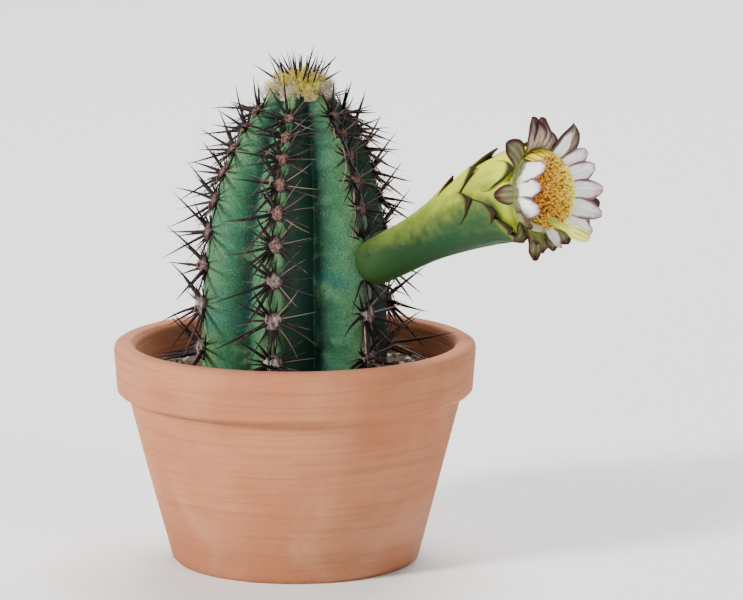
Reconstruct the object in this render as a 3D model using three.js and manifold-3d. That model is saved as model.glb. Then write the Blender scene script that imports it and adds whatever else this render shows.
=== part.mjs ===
// A rooted cutting of a six-ribbed columnar cactus with one open flower, standing in soil in a plain clay pot.
// Millimetres, +Z up, the origin at the centre of the pot's underside. Seen from -Y, the flower leans out to the right.

import * as THREE from "three";
import { mergeVertices } from "three/addons/utils/BufferGeometryUtils.js";
import Module from "manifold-3d";

const wasm = await Module();
wasm.setup();

// Driving dimensions of the pot
const POT_HEIGHT = 62;
const POT_TOP_RADIUS = 51;
const POT_FOOT_RADIUS = 35;
const POT_WALL = 5;
const POT_FLOOR = 6;
const RIM_HEIGHT = 14;
const RIM_STEP = 3;
const POT_SIDES = 32;
const DRAIN_HOLES = 3;
const DRAIN_RADIUS = 3.5;
const DRAIN_CIRCLE = 18;

// Driving dimensions of the soil
const SOIL_TOP = POT_HEIGHT - 9;
const SOIL_RISE = 1.6;
const SOIL_LUMP = 0.7;

// Driving dimensions of the stem: its height above the soil, the crest radius at its widest, and its ribs
const STEM_HEIGHT = 83;
const STEM_RADIUS = 27.2;
const STEM_ROOTED = 20;
const STEM_LEAN = 1.8;
const RIBS = 6;
const FIRST_RIB = -12;
const RIB_DEPTH = 0.36;
const RIB_ROUNDNESS = 1.55;
const POINTS_PER_RIB = 8;

// Driving dimensions of the areoles and spines
const AREOLES_PER_RIB = 9;
const LOWEST_AREOLE = 7.6;
const LOWEST_SPACING = 12.2;
const SPACING_SHRINK = 0.895;
const PAD_RADIUS = 2.9;
const PAD_RADIUS_AT_TOP = 1.5;
const CENTRAL_LENGTH = 19;
const RADIAL_LENGTH = 10.5;
const CENTRAL_RADIUS = 0.55;
const RADIAL_RADIUS = 0.34;
const SPINE_SIDES = 3;

// Driving dimensions of the woolly crown
const WOOL_RADIUS = 9;
const WOOL_HEIGHT = 6.4;
const WOOL_TUFTS = 17;
const CROWN_SPINES = 12;

// Driving dimensions of the flower: where it leaves its rib, and the rise of its tube at each end
const FLOWER_HEIGHT = 34.7;
const FLOWER_RIB = 1;
const FLOWER_TURN = 51;
const FLOWER_SUNK = 1.4;
const TUBE_CHORD = 58.8;
const TUBE_CHORD_RISE = 24;
const TUBE_START_RISE = 25;
const MOUTH_RISE = 7.5;
const TUBE_RADIUS = 6.4;
const MOUTH_RADIUS = 12.3;
const TUBE_SIDES = 18;
const TUBE_STEPS = 11;

// The gap kept between pieces that touch, and between a spine and what it passes
const GAP = 0.3;
const SPINE_CLEARANCE = 1.2;
const RIM_CLEARANCE = 2.5;

const UP = new THREE.Vector3(0, 0, 1);
const radians = THREE.MathUtils.degToRad;
const lerp = THREE.MathUtils.lerp;
const smoothstep = THREE.MathUtils.smoothstep;

// A repeatable draw from 0 to 1 for a numbered item and a numbered choice.
function draw(item, choice) {
  const wave = Math.sin(item * 12.9898 + choice * 78.233) * 43758.5453;
  return wave - Math.floor(wave);
}

// The horizontal direction at a turn in degrees: 0 faces -Y, 90 faces +X.
function bearing(turn) {
  return new THREE.Vector3(Math.sin(radians(turn)), -Math.cos(radians(turn)), 0);
}

// A closed surface through rings of points, with one point closing each end. Rings run anticlockwise seen from
// the high end. Where flip says so, a strip is split along its other diagonal.
function closedSurface(rings, low, high, flip = () => false) {
  const around = rings[0].length;
  const points = [low, ...rings.flat(), high];
  const at = (row, column) => 1 + row * around + (column % around);
  const last = points.length - 1;
  const faces = [];
  for (let j = 0; j < around; j++) {
    faces.push(0, at(0, j + 1), at(0, j));
    faces.push(last, at(rings.length - 1, j), at(rings.length - 1, j + 1));
    for (let i = 0; i + 1 < rings.length; i++) {
      const [a, b, c, d] = [at(i, j), at(i, j + 1), at(i + 1, j + 1), at(i + 1, j)];
      if (flip(j)) faces.push(a, b, d, b, c, d);
      else faces.push(a, b, c, a, c, d);
    }
  }
  const geometry = new THREE.BufferGeometry().setFromPoints(points);
  return geometry.setIndex(faces);
}

// A three.js geometry as a manifold-3d solid, and back.
function solid(geometry) {
  const bare = geometry.clone();
  bare.deleteAttribute("normal");
  bare.deleteAttribute("uv");
  const merged = mergeVertices(bare, 1e-4);
  return new wasm.Manifold(
    new wasm.Mesh({
      numProp: 3,
      vertProperties: new Float32Array(merged.attributes.position.array),
      triVerts: new Uint32Array(merged.index.array),
    }),
  );
}

// Solids joined into one body; a loose scrap that a cut leaves is dropped.
function fuse(solids) {
  return wholeBody(wasm.Manifold.union(solids));
}

function wholeBody(manifold) {
  return manifold.decompose().sort((a, b) => b.volume() - a.volume())[0];
}

function geometryOf(manifold) {
  const mesh = manifold.getMesh();
  const geometry = new THREE.BufferGeometry();
  geometry.setAttribute("position", new THREE.BufferAttribute(new Float32Array(mesh.vertProperties), 3));
  geometry.setIndex(new THREE.BufferAttribute(new Uint32Array(mesh.triVerts), 1));
  geometry.computeVertexNormals();
  return geometry;
}

function named(name, geometry, color, roughness) {
  const material = new THREE.MeshStandardMaterial({ color, roughness, metalness: 0, flatShading: true });
  const mesh = new THREE.Mesh(geometry, material);
  mesh.name = name;
  return mesh;
}

// The pot: a lathe-turned clay wall, floor and banded rim, with three drainage holes round the middle of the floor.
function makePot() {
  const underRim = POT_HEIGHT - RIM_HEIGHT;
  const bodyTop = POT_TOP_RADIUS - RIM_STEP - 1;
  const innerTop = POT_TOP_RADIUS - POT_WALL - 1;
  const innerFoot = POT_FOOT_RADIUS - POT_WALL;
  const profile = [
    [0, 0],
    [POT_FOOT_RADIUS - 1, 0],
    [POT_FOOT_RADIUS, 1],
    [bodyTop, underRim],
    [POT_TOP_RADIUS - 1.6, underRim],
    [POT_TOP_RADIUS - 1, underRim + 0.8],
    [POT_TOP_RADIUS, POT_HEIGHT - 1.5],
    [POT_TOP_RADIUS - 1.2, POT_HEIGHT],
    [innerTop + 1, POT_HEIGHT],
    [innerTop, POT_HEIGHT - 1.2],
    [innerFoot, POT_FLOOR],
    [0, POT_FLOOR],
  ].map(([r, z]) => new THREE.Vector2(r, z));
  const turned = new THREE.LatheGeometry(profile, POT_SIDES).rotateX(Math.PI / 2);
  const wall = solid(turned);
  const holes = [];
  for (let k = 0; k < DRAIN_HOLES; k++) {
    const place = bearing((360 / DRAIN_HOLES) * k).multiplyScalar(DRAIN_CIRCLE);
    const hole = new THREE.CylinderGeometry(DRAIN_RADIUS, DRAIN_RADIUS, POT_FLOOR * 3, 16).rotateX(Math.PI / 2);
    holes.push(solid(hole.translate(place.x, place.y, POT_FLOOR / 2)));
  }
  return geometryOf(wall.subtract(wasm.Manifold.union(holes)));
}

// The pot's inner radius at a height.
function potInner(z) {
  const low = POT_FOOT_RADIUS - POT_WALL;
  const high = POT_TOP_RADIUS - POT_WALL - 1;
  return lerp(low, high, (z - POT_FLOOR) / (POT_HEIGHT - 1.2 - POT_FLOOR));
}

// The stem's crest radius at a height above the soil: a slow taper that closes in a dome, and a rounded rooted end.
function crestRadius(z) {
  if (z >= 0) return STEM_RADIUS * (1 - Math.min(z / STEM_HEIGHT, 1) ** 3.2) ** 0.65;
  return STEM_RADIUS * (1 - Math.min(-z / STEM_ROOTED, 1) ** 3) ** 0.5;
}

// The stem's axis leans a little to +X towards its top.
function axisPoint(z) {
  return new THREE.Vector3(STEM_LEAN * Math.max(z / STEM_HEIGHT, 0) ** 2, 0, z);
}

// A point of the stem's skin. across runs from -1 to 1 over one rib, with the crest at 0 and a groove at each end.
function stemPoint(rib, across, z, grow) {
  const turn = FIRST_RIB + (360 / RIBS) * (rib + across / 2);
  const radius = crestRadius(z) * (1 - RIB_DEPTH * Math.abs(across) ** RIB_ROUNDNESS) + grow;
  return axisPoint(z).addScaledVector(bearing(turn), radius);
}

// The ribbed stem as one closed surface, grown outwards by a clearance where something is cut to fit it.
function stemBody(grow = 0) {
  const heights = [-18.5, -14.5, -8];
  const levels = 16;
  for (let i = 0; i < levels; i++) heights.push(STEM_HEIGHT * (1 - (1 - i / levels) ** 1.5));
  const rings = heights.map((z) => {
    const ring = [];
    for (let rib = 0; rib < RIBS; rib++) {
      for (let j = 0; j < POINTS_PER_RIB; j++) {
        ring.push(stemPoint(rib, (2 * j) / POINTS_PER_RIB - 1, z, grow));
      }
    }
    return ring;
  });
  const low = axisPoint(-STEM_ROOTED - grow);
  const high = axisPoint(STEM_HEIGHT + grow);
  return closedSurface(rings, low, high);
}

// Where an areole sits on its rib: the point on the crest, the way out of it, up along the crest, and sideways.
function crestFrame(rib, z) {
  const turn = FIRST_RIB + (360 / RIBS) * rib;
  const out = bearing(turn);
  const at = stemPoint(rib, 0, z, 0);
  const along = stemPoint(rib, 0, z + 0.5, 0).sub(stemPoint(rib, 0, z - 0.5, 0)).normalize();
  const side = new THREE.Vector3().crossVectors(UP, out).normalize();
  const normal = new THREE.Vector3().crossVectors(side, along).normalize();
  return { at, normal, along, side };
}

// The heights of one rib's areoles: wide apart on old growth, and closer towards the tip.
function areoleHeights(rib) {
  const heights = [];
  let z = LOWEST_AREOLE + 2 * (draw(rib, 3) - 0.5);
  let step = LOWEST_SPACING;
  for (let k = 0; k < AREOLES_PER_RIB; k++) {
    heights.push(z);
    const steepness = Math.abs(crestRadius(z + 1) - crestRadius(z));
    z += step / Math.hypot(1, steepness);
    step *= SPACING_SHRINK;
  }
  return heights.filter((height) => height < STEM_HEIGHT - 5.5);
}

// A felt pad: a low five-sided dome, sunk into the crest.
function pad(frame, radius) {
  const ring = (scale, lift) =>
    Array.from({ length: 5 }, (_, k) => {
      const angle = (2 * Math.PI * k) / 5;
      return frame.at
        .clone()
        .addScaledVector(frame.side, Math.cos(angle) * radius * scale)
        .addScaledVector(frame.along, Math.sin(angle) * radius * scale * 1.1)
        .addScaledVector(frame.normal, lift);
    });
  const low = frame.at.clone().addScaledVector(frame.normal, -radius * 1.4);
  const high = frame.at.clone().addScaledVector(frame.normal, radius * 0.42);
  return solid(closedSurface([ring(1, -radius * 0.55), ring(0.62, radius * 0.3)], low, high));
}

// A straight needle: a three-sided cone from a root inside the pad to its tip.
function needle(root, direction, length, radius) {
  const aside = new THREE.Vector3().crossVectors(direction, Math.abs(direction.z) < 0.9 ? UP : bearing(0)).normalize();
  const over = new THREE.Vector3().crossVectors(direction, aside);
  const ring = Array.from({ length: SPINE_SIDES }, (_, k) => {
    const angle = (2 * Math.PI * k) / SPINE_SIDES;
    const spread = aside.clone().multiplyScalar(Math.cos(angle)).addScaledVector(over, Math.sin(angle));
    return root.clone().addScaledVector(spread, radius);
  });
  const low = root.clone().addScaledVector(direction, -radius);
  return solid(closedSurface([ring], low, root.clone().addScaledVector(direction, length)));
}

// The flower tube's centreline, in the plant's frame: a shallow arch from the rib to the mouth.
const flowerStart = (() => {
  const frame = crestFrame(FLOWER_RIB, FLOWER_HEIGHT);
  return frame.at.clone().addScaledVector(frame.normal, TUBE_RADIUS - FLOWER_SUNK);
})();
const rise = (degrees) => new THREE.Vector3(Math.cos(radians(degrees)), 0, Math.sin(radians(degrees)));
const tubeEnd = rise(TUBE_CHORD_RISE).multiplyScalar(TUBE_CHORD);
const tubeLine = new THREE.CubicBezierCurve3(
  new THREE.Vector3(),
  rise(TUBE_START_RISE).multiplyScalar(TUBE_CHORD * 0.4),
  tubeEnd.clone().addScaledVector(rise(MOUTH_RISE), -TUBE_CHORD * 0.26),
  tubeEnd,
);
const flowerTurn = radians(FLOWER_TURN) - Math.PI / 2;

// The tube's radius along its length: slender for the first fifth, then a funnel to the mouth.
function tubeRadius(u) {
  return lerp(TUBE_RADIUS, MOUTH_RADIUS, smoothstep(u, 0.22, 1.03));
}

// How far a point is from the flower's tube and open head, in the plant's frame. Below zero is inside.
function clearOfFlower(point) {
  const local = point.clone().sub(flowerStart).applyAxisAngle(UP, -flowerTurn);
  let nearest = Infinity;
  for (let i = 0; i <= 24; i++) {
    const u = i / 24;
    nearest = Math.min(nearest, tubeLine.getPointAt(u).distanceTo(local) - tubeRadius(u));
  }
  return nearest;
}

// How high the soil or the pot's rim stands below a point, in the plant's frame.
function floorUnder(point) {
  const reach = Math.hypot(point.x, point.y);
  return reach > potInner(POT_HEIGHT) - RIM_CLEARANCE ? POT_HEIGHT - SOIL_TOP : SOIL_RISE;
}

// A spine may not touch the soil, the pot or the flower: its direction is raised until its outer half is clear, and
// one that still meets the flower is left out.
function clearDirection(root, direction, length) {
  const way = direction.clone();
  for (let tries = 0; tries < 16; tries++) {
    const low = [0.7, 0.85, 1].some((share) => {
      const point = root.clone().addScaledVector(way, length * share);
      return point.z < floorUnder(point) + SPINE_CLEARANCE;
    });
    if (!low) break;
    way.z += 0.12;
    way.normalize();
  }
  for (const share of [0.25, 0.5, 0.75, 1]) {
    const point = root.clone().addScaledVector(way, length * share);
    if (clearOfFlower(point) < SPINE_CLEARANCE) return null;
  }
  return way;
}

// One areole's spines: radials lie round the pad and centrals stand out of it. Each row is the angle round the pad
// (0 is up the rib, 90 to its left as seen), the tilt away from the way out, the share of full length and its kind.
const SPINE_PLAN = [
  { angle: 28, tilt: 48, share: 0.82, central: true },
  { angle: 178, tilt: 58, share: 1, central: true },
  { angle: 118, tilt: 60, share: 0.98, central: true },
  { angle: -128, tilt: 64, share: 0.86, central: true },
  { angle: -62, tilt: 74, share: 1.05, central: false },
  { angle: 66, tilt: 70, share: 0.8, central: false },
];

function areoleSpines(rib, order, frame, radius, youth) {
  const made = [];
  SPINE_PLAN.forEach((plan, k) => {
    const item = rib * 211 + order * 17 + k;
    const upwards = youth * 0.55;
    const angle = radians(lerp(plan.angle, plan.angle * 0.55, upwards) + (draw(item, 1) - 0.5) * 26);
    const tilt = radians(plan.tilt + (draw(item, 2) - 0.5) * 18);
    const full = plan.central ? CENTRAL_LENGTH : RADIAL_LENGTH;
    const length = full * plan.share * (0.85 + 0.3 * draw(item, 4)) * lerp(1, 0.72, youth);
    const around = frame.along.clone().multiplyScalar(Math.cos(angle)).addScaledVector(frame.side, -Math.sin(angle));
    const direction = frame.normal.clone().multiplyScalar(Math.cos(tilt)).addScaledVector(around, Math.sin(tilt));
    const root = frame.at
      .clone()
      .addScaledVector(around, radius * (plan.central ? 0.25 : 0.55))
      .addScaledVector(frame.normal, -0.4);
    const way = clearDirection(root, direction.normalize(), length);
    const thickness = (plan.central ? CENTRAL_RADIUS : RADIAL_RADIUS) * lerp(1, 0.8, youth);
    if (way) made.push(needle(root, way, length, thickness));
  });
  return made;
}

function makeStem() {
  const parts = [solid(stemBody())];
  for (let rib = 0; rib < RIBS; rib++) {
    areoleHeights(rib).forEach((z, order) => {
      const frame = crestFrame(rib, z);
      const youth = z / STEM_HEIGHT;
      const radius = lerp(PAD_RADIUS, PAD_RADIUS_AT_TOP, youth);
      if (clearOfFlower(frame.at) > radius + GAP) parts.push(pad(frame, radius));
      parts.push(...areoleSpines(rib, order, frame, radius, youth));
    });
  }
  return fuse(parts);
}

// The soil: a filled disc, a little higher round the stem, with low lumps and a plain hole that the stem stands in.
function makeSoil() {
  const around = 24;
  const height = (r, turn) => {
    const lumps = Math.sin(r * 0.9 + 2 * Math.sin(turn * 3)) * Math.cos(turn * 7 + r * 0.5);
    return SOIL_TOP + SOIL_RISE * (1 - r / potInner(SOIL_TOP)) + SOIL_LUMP * lumps * 0.5;
  };
  const ring = (r, z) =>
    Array.from({ length: around }, (_, k) => {
      const turn = (2 * Math.PI * k) / around;
      return new THREE.Vector3(Math.cos(turn) * r, Math.sin(turn) * r, z === null ? height(r, turn) : z);
    });
  const bottom = POT_FLOOR + GAP;
  const edge = potInner(SOIL_TOP) - GAP - 0.2;
  const rings = [ring(potInner(bottom) - GAP - 0.2, bottom), ring(edge, SOIL_TOP - 1)];
  for (const share of [0.98, 0.88, 0.78, 0.68, 0.58, 0.4]) rings.push(ring(edge * share, null));
  const low = new THREE.Vector3(0, 0, bottom);
  const high = new THREE.Vector3(0, 0, SOIL_TOP + SOIL_RISE);
  const disc = solid(closedSurface(rings, low, high));
  const hole = solid(stemBody(GAP).translate(0, 0, SOIL_TOP));
  return wholeBody(disc.subtract(hole));
}

// The crown: a cap of wool over the growing tip, with tufts and young spines standing out of it.
function makeCrown() {
  const centre = axisPoint(STEM_HEIGHT);
  const foot = STEM_HEIGHT - 5;
  const ring = (r, z) =>
    Array.from({ length: 15 }, (_, k) => {
      const turn = (2 * Math.PI * k) / 15;
      const wave = 1 + 0.06 * Math.sin(turn * 5);
      return new THREE.Vector3(centre.x + Math.cos(turn) * r * wave, Math.sin(turn) * r * wave, z);
    });
  const rings = [];
  for (const lift of [0, 0.2, 0.45, 0.7, 0.88]) {
    rings.push(ring(WOOL_RADIUS * (1 - lift * lift) ** 0.6, foot + WOOL_HEIGHT * lift));
  }
  const low = new THREE.Vector3(centre.x, 0, foot);
  const high = new THREE.Vector3(centre.x, 0, foot + WOOL_HEIGHT);
  const cap = solid(closedSurface(rings, low, high));
  const parts = [cap];
  const heart = new THREE.Vector3(centre.x, 0, foot + WOOL_HEIGHT * 0.35);
  const sprout = (item, share, length, radius) => {
    const turn = item * 137.5;
    const tilt = radians(78 * Math.sqrt(share));
    const way = bearing(turn).multiplyScalar(Math.sin(tilt)).addScaledVector(UP, Math.cos(tilt)).normalize();
    const reach = WOOL_RADIUS * Math.sin(tilt) ** 2 + WOOL_HEIGHT * 0.62 * Math.cos(tilt) ** 2;
    const root = heart.clone().addScaledVector(way, reach - 1.8);
    parts.push(needle(root, way, length + 1.8, radius));
  };
  for (let k = 0; k < WOOL_TUFTS; k++) sprout(k, (k + 0.5) / WOOL_TUFTS, 1.2 + draw(k, 7), 0.95);
  for (let k = 0; k < CROWN_SPINES; k++) {
    sprout(k + 500, ((k + 0.5) / CROWN_SPINES) * 0.9, 5.5 + 3 * draw(k, 8), 0.42);
  }
  return wholeBody(fuse(parts).subtract(solid(stemBody(GAP))));
}

// A point of the tube's skin at a share u of its length, an angle round it and a height off it. Angle 90 is up and
// 180 faces a viewer at -Y. Past either end the tube's axis runs straight on.
function tubePoint(u, angle, lift) {
  const inside = THREE.MathUtils.clamp(u, 0, 1);
  const tangent = tubeLine.getTangentAt(inside);
  const along = tubeLine.getPointAt(inside).addScaledVector(tangent, (u - inside) * tubeLine.getLength());
  const side = new THREE.Vector3(0, 1, 0);
  const over = new THREE.Vector3().crossVectors(tangent, side).negate().normalize();
  if (over.z < 0) over.negate();
  const radius = tubeRadius(Math.max(u, 0)) + lift;
  return along
    .addScaledVector(side, Math.cos(radians(angle)) * radius)
    .addScaledVector(over, Math.sin(radians(angle)) * radius);
}

// The tube's fleshy scales: the angle round the tube, the share of its length that the tip reaches, length and width.
const SCALES = [
  { angle: 107, tip: 0.63, length: 13, width: 9 },
  { angle: 132, tip: 0.82, length: 17, width: 13.5 },
  { angle: 172, tip: 0.8, length: 18, width: 11.5 },
  { angle: 98, tip: 0.87, length: 20, width: 11 },
  { angle: 194, tip: 0.93, length: 18, width: 11.5 },
  { angle: 217, tip: 0.99, length: 20, width: 11.5 },
  { angle: 147, tip: 1.04, length: 16, width: 10.5 },
  { angle: 240, tip: 1, length: 18, width: 11.5 },
  { angle: 20, tip: 0.66, length: 16, width: 9 },
  { angle: 325, tip: 0.74, length: 18, width: 10 },
  { angle: 275, tip: 0.84, length: 18, width: 11 },
  { angle: 55, tip: 0.84, length: 17, width: 11 },
  { angle: 0, tip: 0.92, length: 18, width: 11.5 },
  { angle: 300, tip: 1, length: 18, width: 11.5 },
  { angle: 28, tip: 1.02, length: 16, width: 11.5 },
  { angle: 75, tip: 1.03, length: 14, width: 11 },
];

// One scale: a thick blade that runs up the tube from below its skin and lifts clear towards its pointed tip.
function scaleBlade({ angle, tip, length, width }) {
  const reach = length / tubeLine.getLength();
  const place = (share, across, lift) => {
    const u = tip - reach * (1 - share);
    const narrow = (1 - Math.max(share, 0) ** 2.3) ** 0.9;
    const half = (width / 2) * (0.5 + 0.5 * smoothstep(share, 0, 0.55)) * narrow;
    const turn = THREE.MathUtils.radToDeg((half * across) / tubeRadius(Math.min(u, 1)));
    return tubePoint(u, angle + turn, lift - 0.3 * (across * narrow) ** 2 * share);
  };
  const rings = [0, 0.3, 0.58, 0.82, 0.96].map((share) => {
    const raised = lerp(-0.15, 1.75, share ** 1.25);
    const thick = lerp(0.9, 0.62, share);
    const outer = [-1, -0.45, 0.45, 1].map((v) => place(share, v, raised + (thick / 2) * (1 - v * v) + 0.1));
    const inner = [0.45, -0.45].map((v) => place(share, v, raised - thick * 0.8));
    return [...outer, ...inner];
  });
  return closedSurface(rings, place(-0.04, 0, -0.6), place(1, 0, 1.7), (j) => j > 2);
}

// The tube: a rounded foot, a slender neck and a funnel to the flat mouth, with its scales fused on.
function makeTube() {
  const rings = [];
  for (const share of [0.3, 0.6, 0.85]) {
    const back = TUBE_RADIUS * Math.sqrt(1 - share * share);
    rings.push(
      Array.from({ length: TUBE_SIDES }, (_, k) => {
        const point = tubePoint(0, (360 * k) / TUBE_SIDES, TUBE_RADIUS * (share - 1));
        return point.addScaledVector(tubeLine.getTangentAt(0), -back);
      }),
    );
  }
  for (let i = 0; i <= TUBE_STEPS; i++) {
    rings.push(
      Array.from({ length: TUBE_SIDES }, (_, k) => tubePoint(i / TUBE_STEPS, (360 * k) / TUBE_SIDES, 0)),
    );
  }
  const low = tubeLine.getPointAt(0).addScaledVector(tubeLine.getTangentAt(0), -TUBE_RADIUS);
  const parts = [solid(closedSurface(rings, low, tubeLine.getPointAt(1)))];
  SCALES.forEach((scale) => parts.push(solid(scaleBlade(scale))));
  const stem = stemBody(GAP)
    .translate(-flowerStart.x, -flowerStart.y, -flowerStart.z)
    .rotateZ(-flowerTurn);
  return wholeBody(fuse(parts).subtract(solid(stem)));
}

// One tepal in the mouth's frame, whose +Z runs out of the flower: a thin arched blade. Its midline starts at a radius
// and turns outwards from one angle off the axis to another; it narrows to its tip and its edges cup towards the axis.
function tepalBlade({ angle, radius, start, length, width, from, to, base, point, thick }) {
  const bend = radians(to - from);
  const place = (share, across, lift) => {
    const heading = radians(from) + bend * share;
    const r = radius + (length / bend) * (Math.cos(radians(from)) - Math.cos(heading));
    const z = start + (length / bend) * (Math.sin(heading) - Math.sin(radians(from)));
    const narrow = (1 - Math.max(share, 0) ** point) ** 0.65;
    const half = (width / 2) * (base + (1 - base) * smoothstep(share, 0, 0.55)) * narrow;
    const off = lift - 0.16 * width * (across * narrow) ** 2 * share;
    const outwards = r + off * Math.cos(heading);
    const turn = radians(angle);
    const sideways = half * across;
    return new THREE.Vector3(
      Math.cos(turn) * outwards - Math.sin(turn) * sideways,
      Math.sin(turn) * outwards + Math.cos(turn) * sideways,
      z - off * Math.sin(heading),
    );
  };
  const shares = length < 7 ? [0, 0.4, 0.76, 0.97] : [0, 0.3, 0.58, 0.82, 0.97];
  const rings = shares.map((share) => {
    const outer = [-1, -0.45, 0.45, 1].map((v) => place(share, v, (thick / 2) * (1.1 - v * v)));
    const inner = [0.45, -0.45].map((v) => place(share, v, (-thick / 2) * (1.1 - v * v)));
    return [...outer, ...inner];
  });
  return solid(closedSurface(rings, place(-0.05, 0, 0), place(1, 0, 0), (j) => j > 2));
}

// A short collar round the mouth that a whorl of tepals grows from.
function collar(inner, outer, height) {
  const profile = [
    [inner, GAP],
    [outer, GAP],
    [outer, height],
    [inner, height],
    [inner, GAP],
  ].map(([r, z]) => new THREE.Vector2(r, z));
  return solid(new THREE.LatheGeometry(profile, 16).rotateX(Math.PI / 2));
}

// The two whorls: each tepal's angle round the mouth (0 the far side, 90 the top), its length and width, the angles
// off the axis that it starts and ends at, and the radius of its foot.
const OUTER_TEPALS = [
  { angle: 99, length: 9.8, width: 9.5, from: 35, to: 118, radius: 11.5 },
  { angle: 88, length: 9, width: 8.5, from: 35, to: 116, radius: 11.6 },
  { angle: 68, length: 6.5, width: 6.5, from: 50, to: 106, radius: 11.5 },
  { angle: 49, length: 12.3, width: 7.5, from: 41, to: 98, radius: 11.6 },
  { angle: 26, length: 8.5, width: 6.5, from: 35, to: 90, radius: 11.5 },
  { angle: 5, length: 8.5, width: 6.5, from: 35, to: 95, radius: 11.6 },
  { angle: 343, length: 10, width: 6.5, from: 30, to: 88, radius: 11.5 },
  { angle: 322, length: 10, width: 6.5, from: 35, to: 92, radius: 11.6 },
  { angle: 295, length: 5.5, width: 6.5, from: 35, to: 92, radius: 11.5 },
  { angle: 277, length: 5, width: 6, from: 45, to: 105, radius: 11.6 },
  { angle: 258, length: 4.8, width: 6.5, from: 55, to: 110, radius: 11.5 },
  { angle: 243, length: 8, width: 7.5, from: 55, to: 100, radius: 11.6 },
  { angle: 232, length: 6.5, width: 6.5, from: 35, to: 70, radius: 11.5 },
  { angle: 222, length: 6, width: 5.5, from: 60, to: 115, radius: 11.6 },
  { angle: 213, length: 4.8, width: 6.5, from: 10, to: 40, radius: 11.5 },
  { angle: 176, length: 6.4, width: 6, from: 60, to: 165, radius: 11.5 },
  { angle: 128, length: 7, width: 8.5, from: 62, to: 135, radius: 11.5 },
];
const INNER_TEPALS = [
  { angle: 59, length: 10.2, width: 5, from: 25, to: 92, radius: 9.3 },
  { angle: 33, length: 9.8, width: 6.4, from: 25, to: 88, radius: 9.6 },
  { angle: 16, length: 10.6, width: 6.6, from: 25, to: 88, radius: 9.3 },
  { angle: 355, length: 11.4, width: 6.4, from: 22, to: 82, radius: 9.6 },
  { angle: 333, length: 11.8, width: 6.2, from: 22, to: 84, radius: 9.3 },
  { angle: 314, length: 10.4, width: 6, from: 22, to: 84, radius: 9.6 },
  { angle: 277, length: 6.8, width: 5.2, from: 50, to: 84, radius: 9.4 },
  { angle: 197, length: 7.4, width: 6.8, from: 8, to: 26, radius: 10.1 },
  { angle: 169, length: 8.8, width: 6.2, from: 6, to: 22, radius: 10.1 },
  { angle: 143, length: 9.6, width: 7, from: 6, to: 24, radius: 10.1 },
];

// The outer tepals: olive and brown, arched wide open on the far side and curled back on the near side.
function makeOuterTepals() {
  const shared = { start: 0.9, base: 0.8, point: 3, thick: 0.8 };
  return fuse([collar(11.15, 12.1, 1.2), ...OUTER_TEPALS.map((tepal) => tepalBlade({ ...tepal, ...shared }))]);
}

// The inner tepals: white and spoon-shaped, spread on the far side and upright on the near side.
function makeInnerTepals() {
  const shared = { start: 1.2, point: 4, thick: 0.8 };
  const blades = INNER_TEPALS.map((tepal) => tepalBlade({ ...tepal, ...shared, base: tepal.from < 20 ? 0.92 : 0.62 }));
  return fuse([collar(8.5, 10.6, 1.3), ...blades]);
}

const STAMEN_HEAD = 5.6;
const STAMEN_RADIUS = 9.8;
const ANTHERS = 36;

// The pistil: a stout style that leans out over the lower rim of the flower and ends in a club of closed lobes.
function makePistil(grow = 0) {
  const line = new THREE.CatmullRomCurve3([
    new THREE.Vector3(-2.9, -4, 2),
    new THREE.Vector3(-3.9, -6.6, 5.8),
    new THREE.Vector3(-2.2, -9.6, 10),
    new THREE.Vector3(2.2, -12.9, 14),
  ]);
  const sides = 10;
  const steps = 12;
  const rings = [];
  for (let i = 0; i <= steps; i++) {
    const u = i / steps;
    const tangent = line.getTangentAt(u);
    const aside = new THREE.Vector3(1, 0, 0).addScaledVector(tangent, -tangent.x).normalize();
    const over = new THREE.Vector3().crossVectors(tangent, aside);
    const club = smoothstep(u, 0.68, 0.82) * Math.sqrt(Math.max(1 - Math.max((u - 0.84) / 0.19, 0) ** 2, 0));
    const radius = 1.05 + 0.85 * club + grow;
    rings.push(
      Array.from({ length: sides }, (_, k) => {
        const angle = (2 * Math.PI * k) / sides;
        const lobed = radius * (1 + 0.1 * club * (k % 2 ? -1 : 1));
        return line
          .getPointAt(u)
          .addScaledVector(aside, Math.cos(angle) * lobed)
          .addScaledVector(over, Math.sin(angle) * lobed);
      }),
    );
  }
  const low = line.getPointAt(0).addScaledVector(line.getTangentAt(0), -0.3 - grow);
  const high = line.getPointAt(1).addScaledVector(line.getTangentAt(1), 0.5 + grow);
  return solid(closedSurface(rings, low, high));
}

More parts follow.
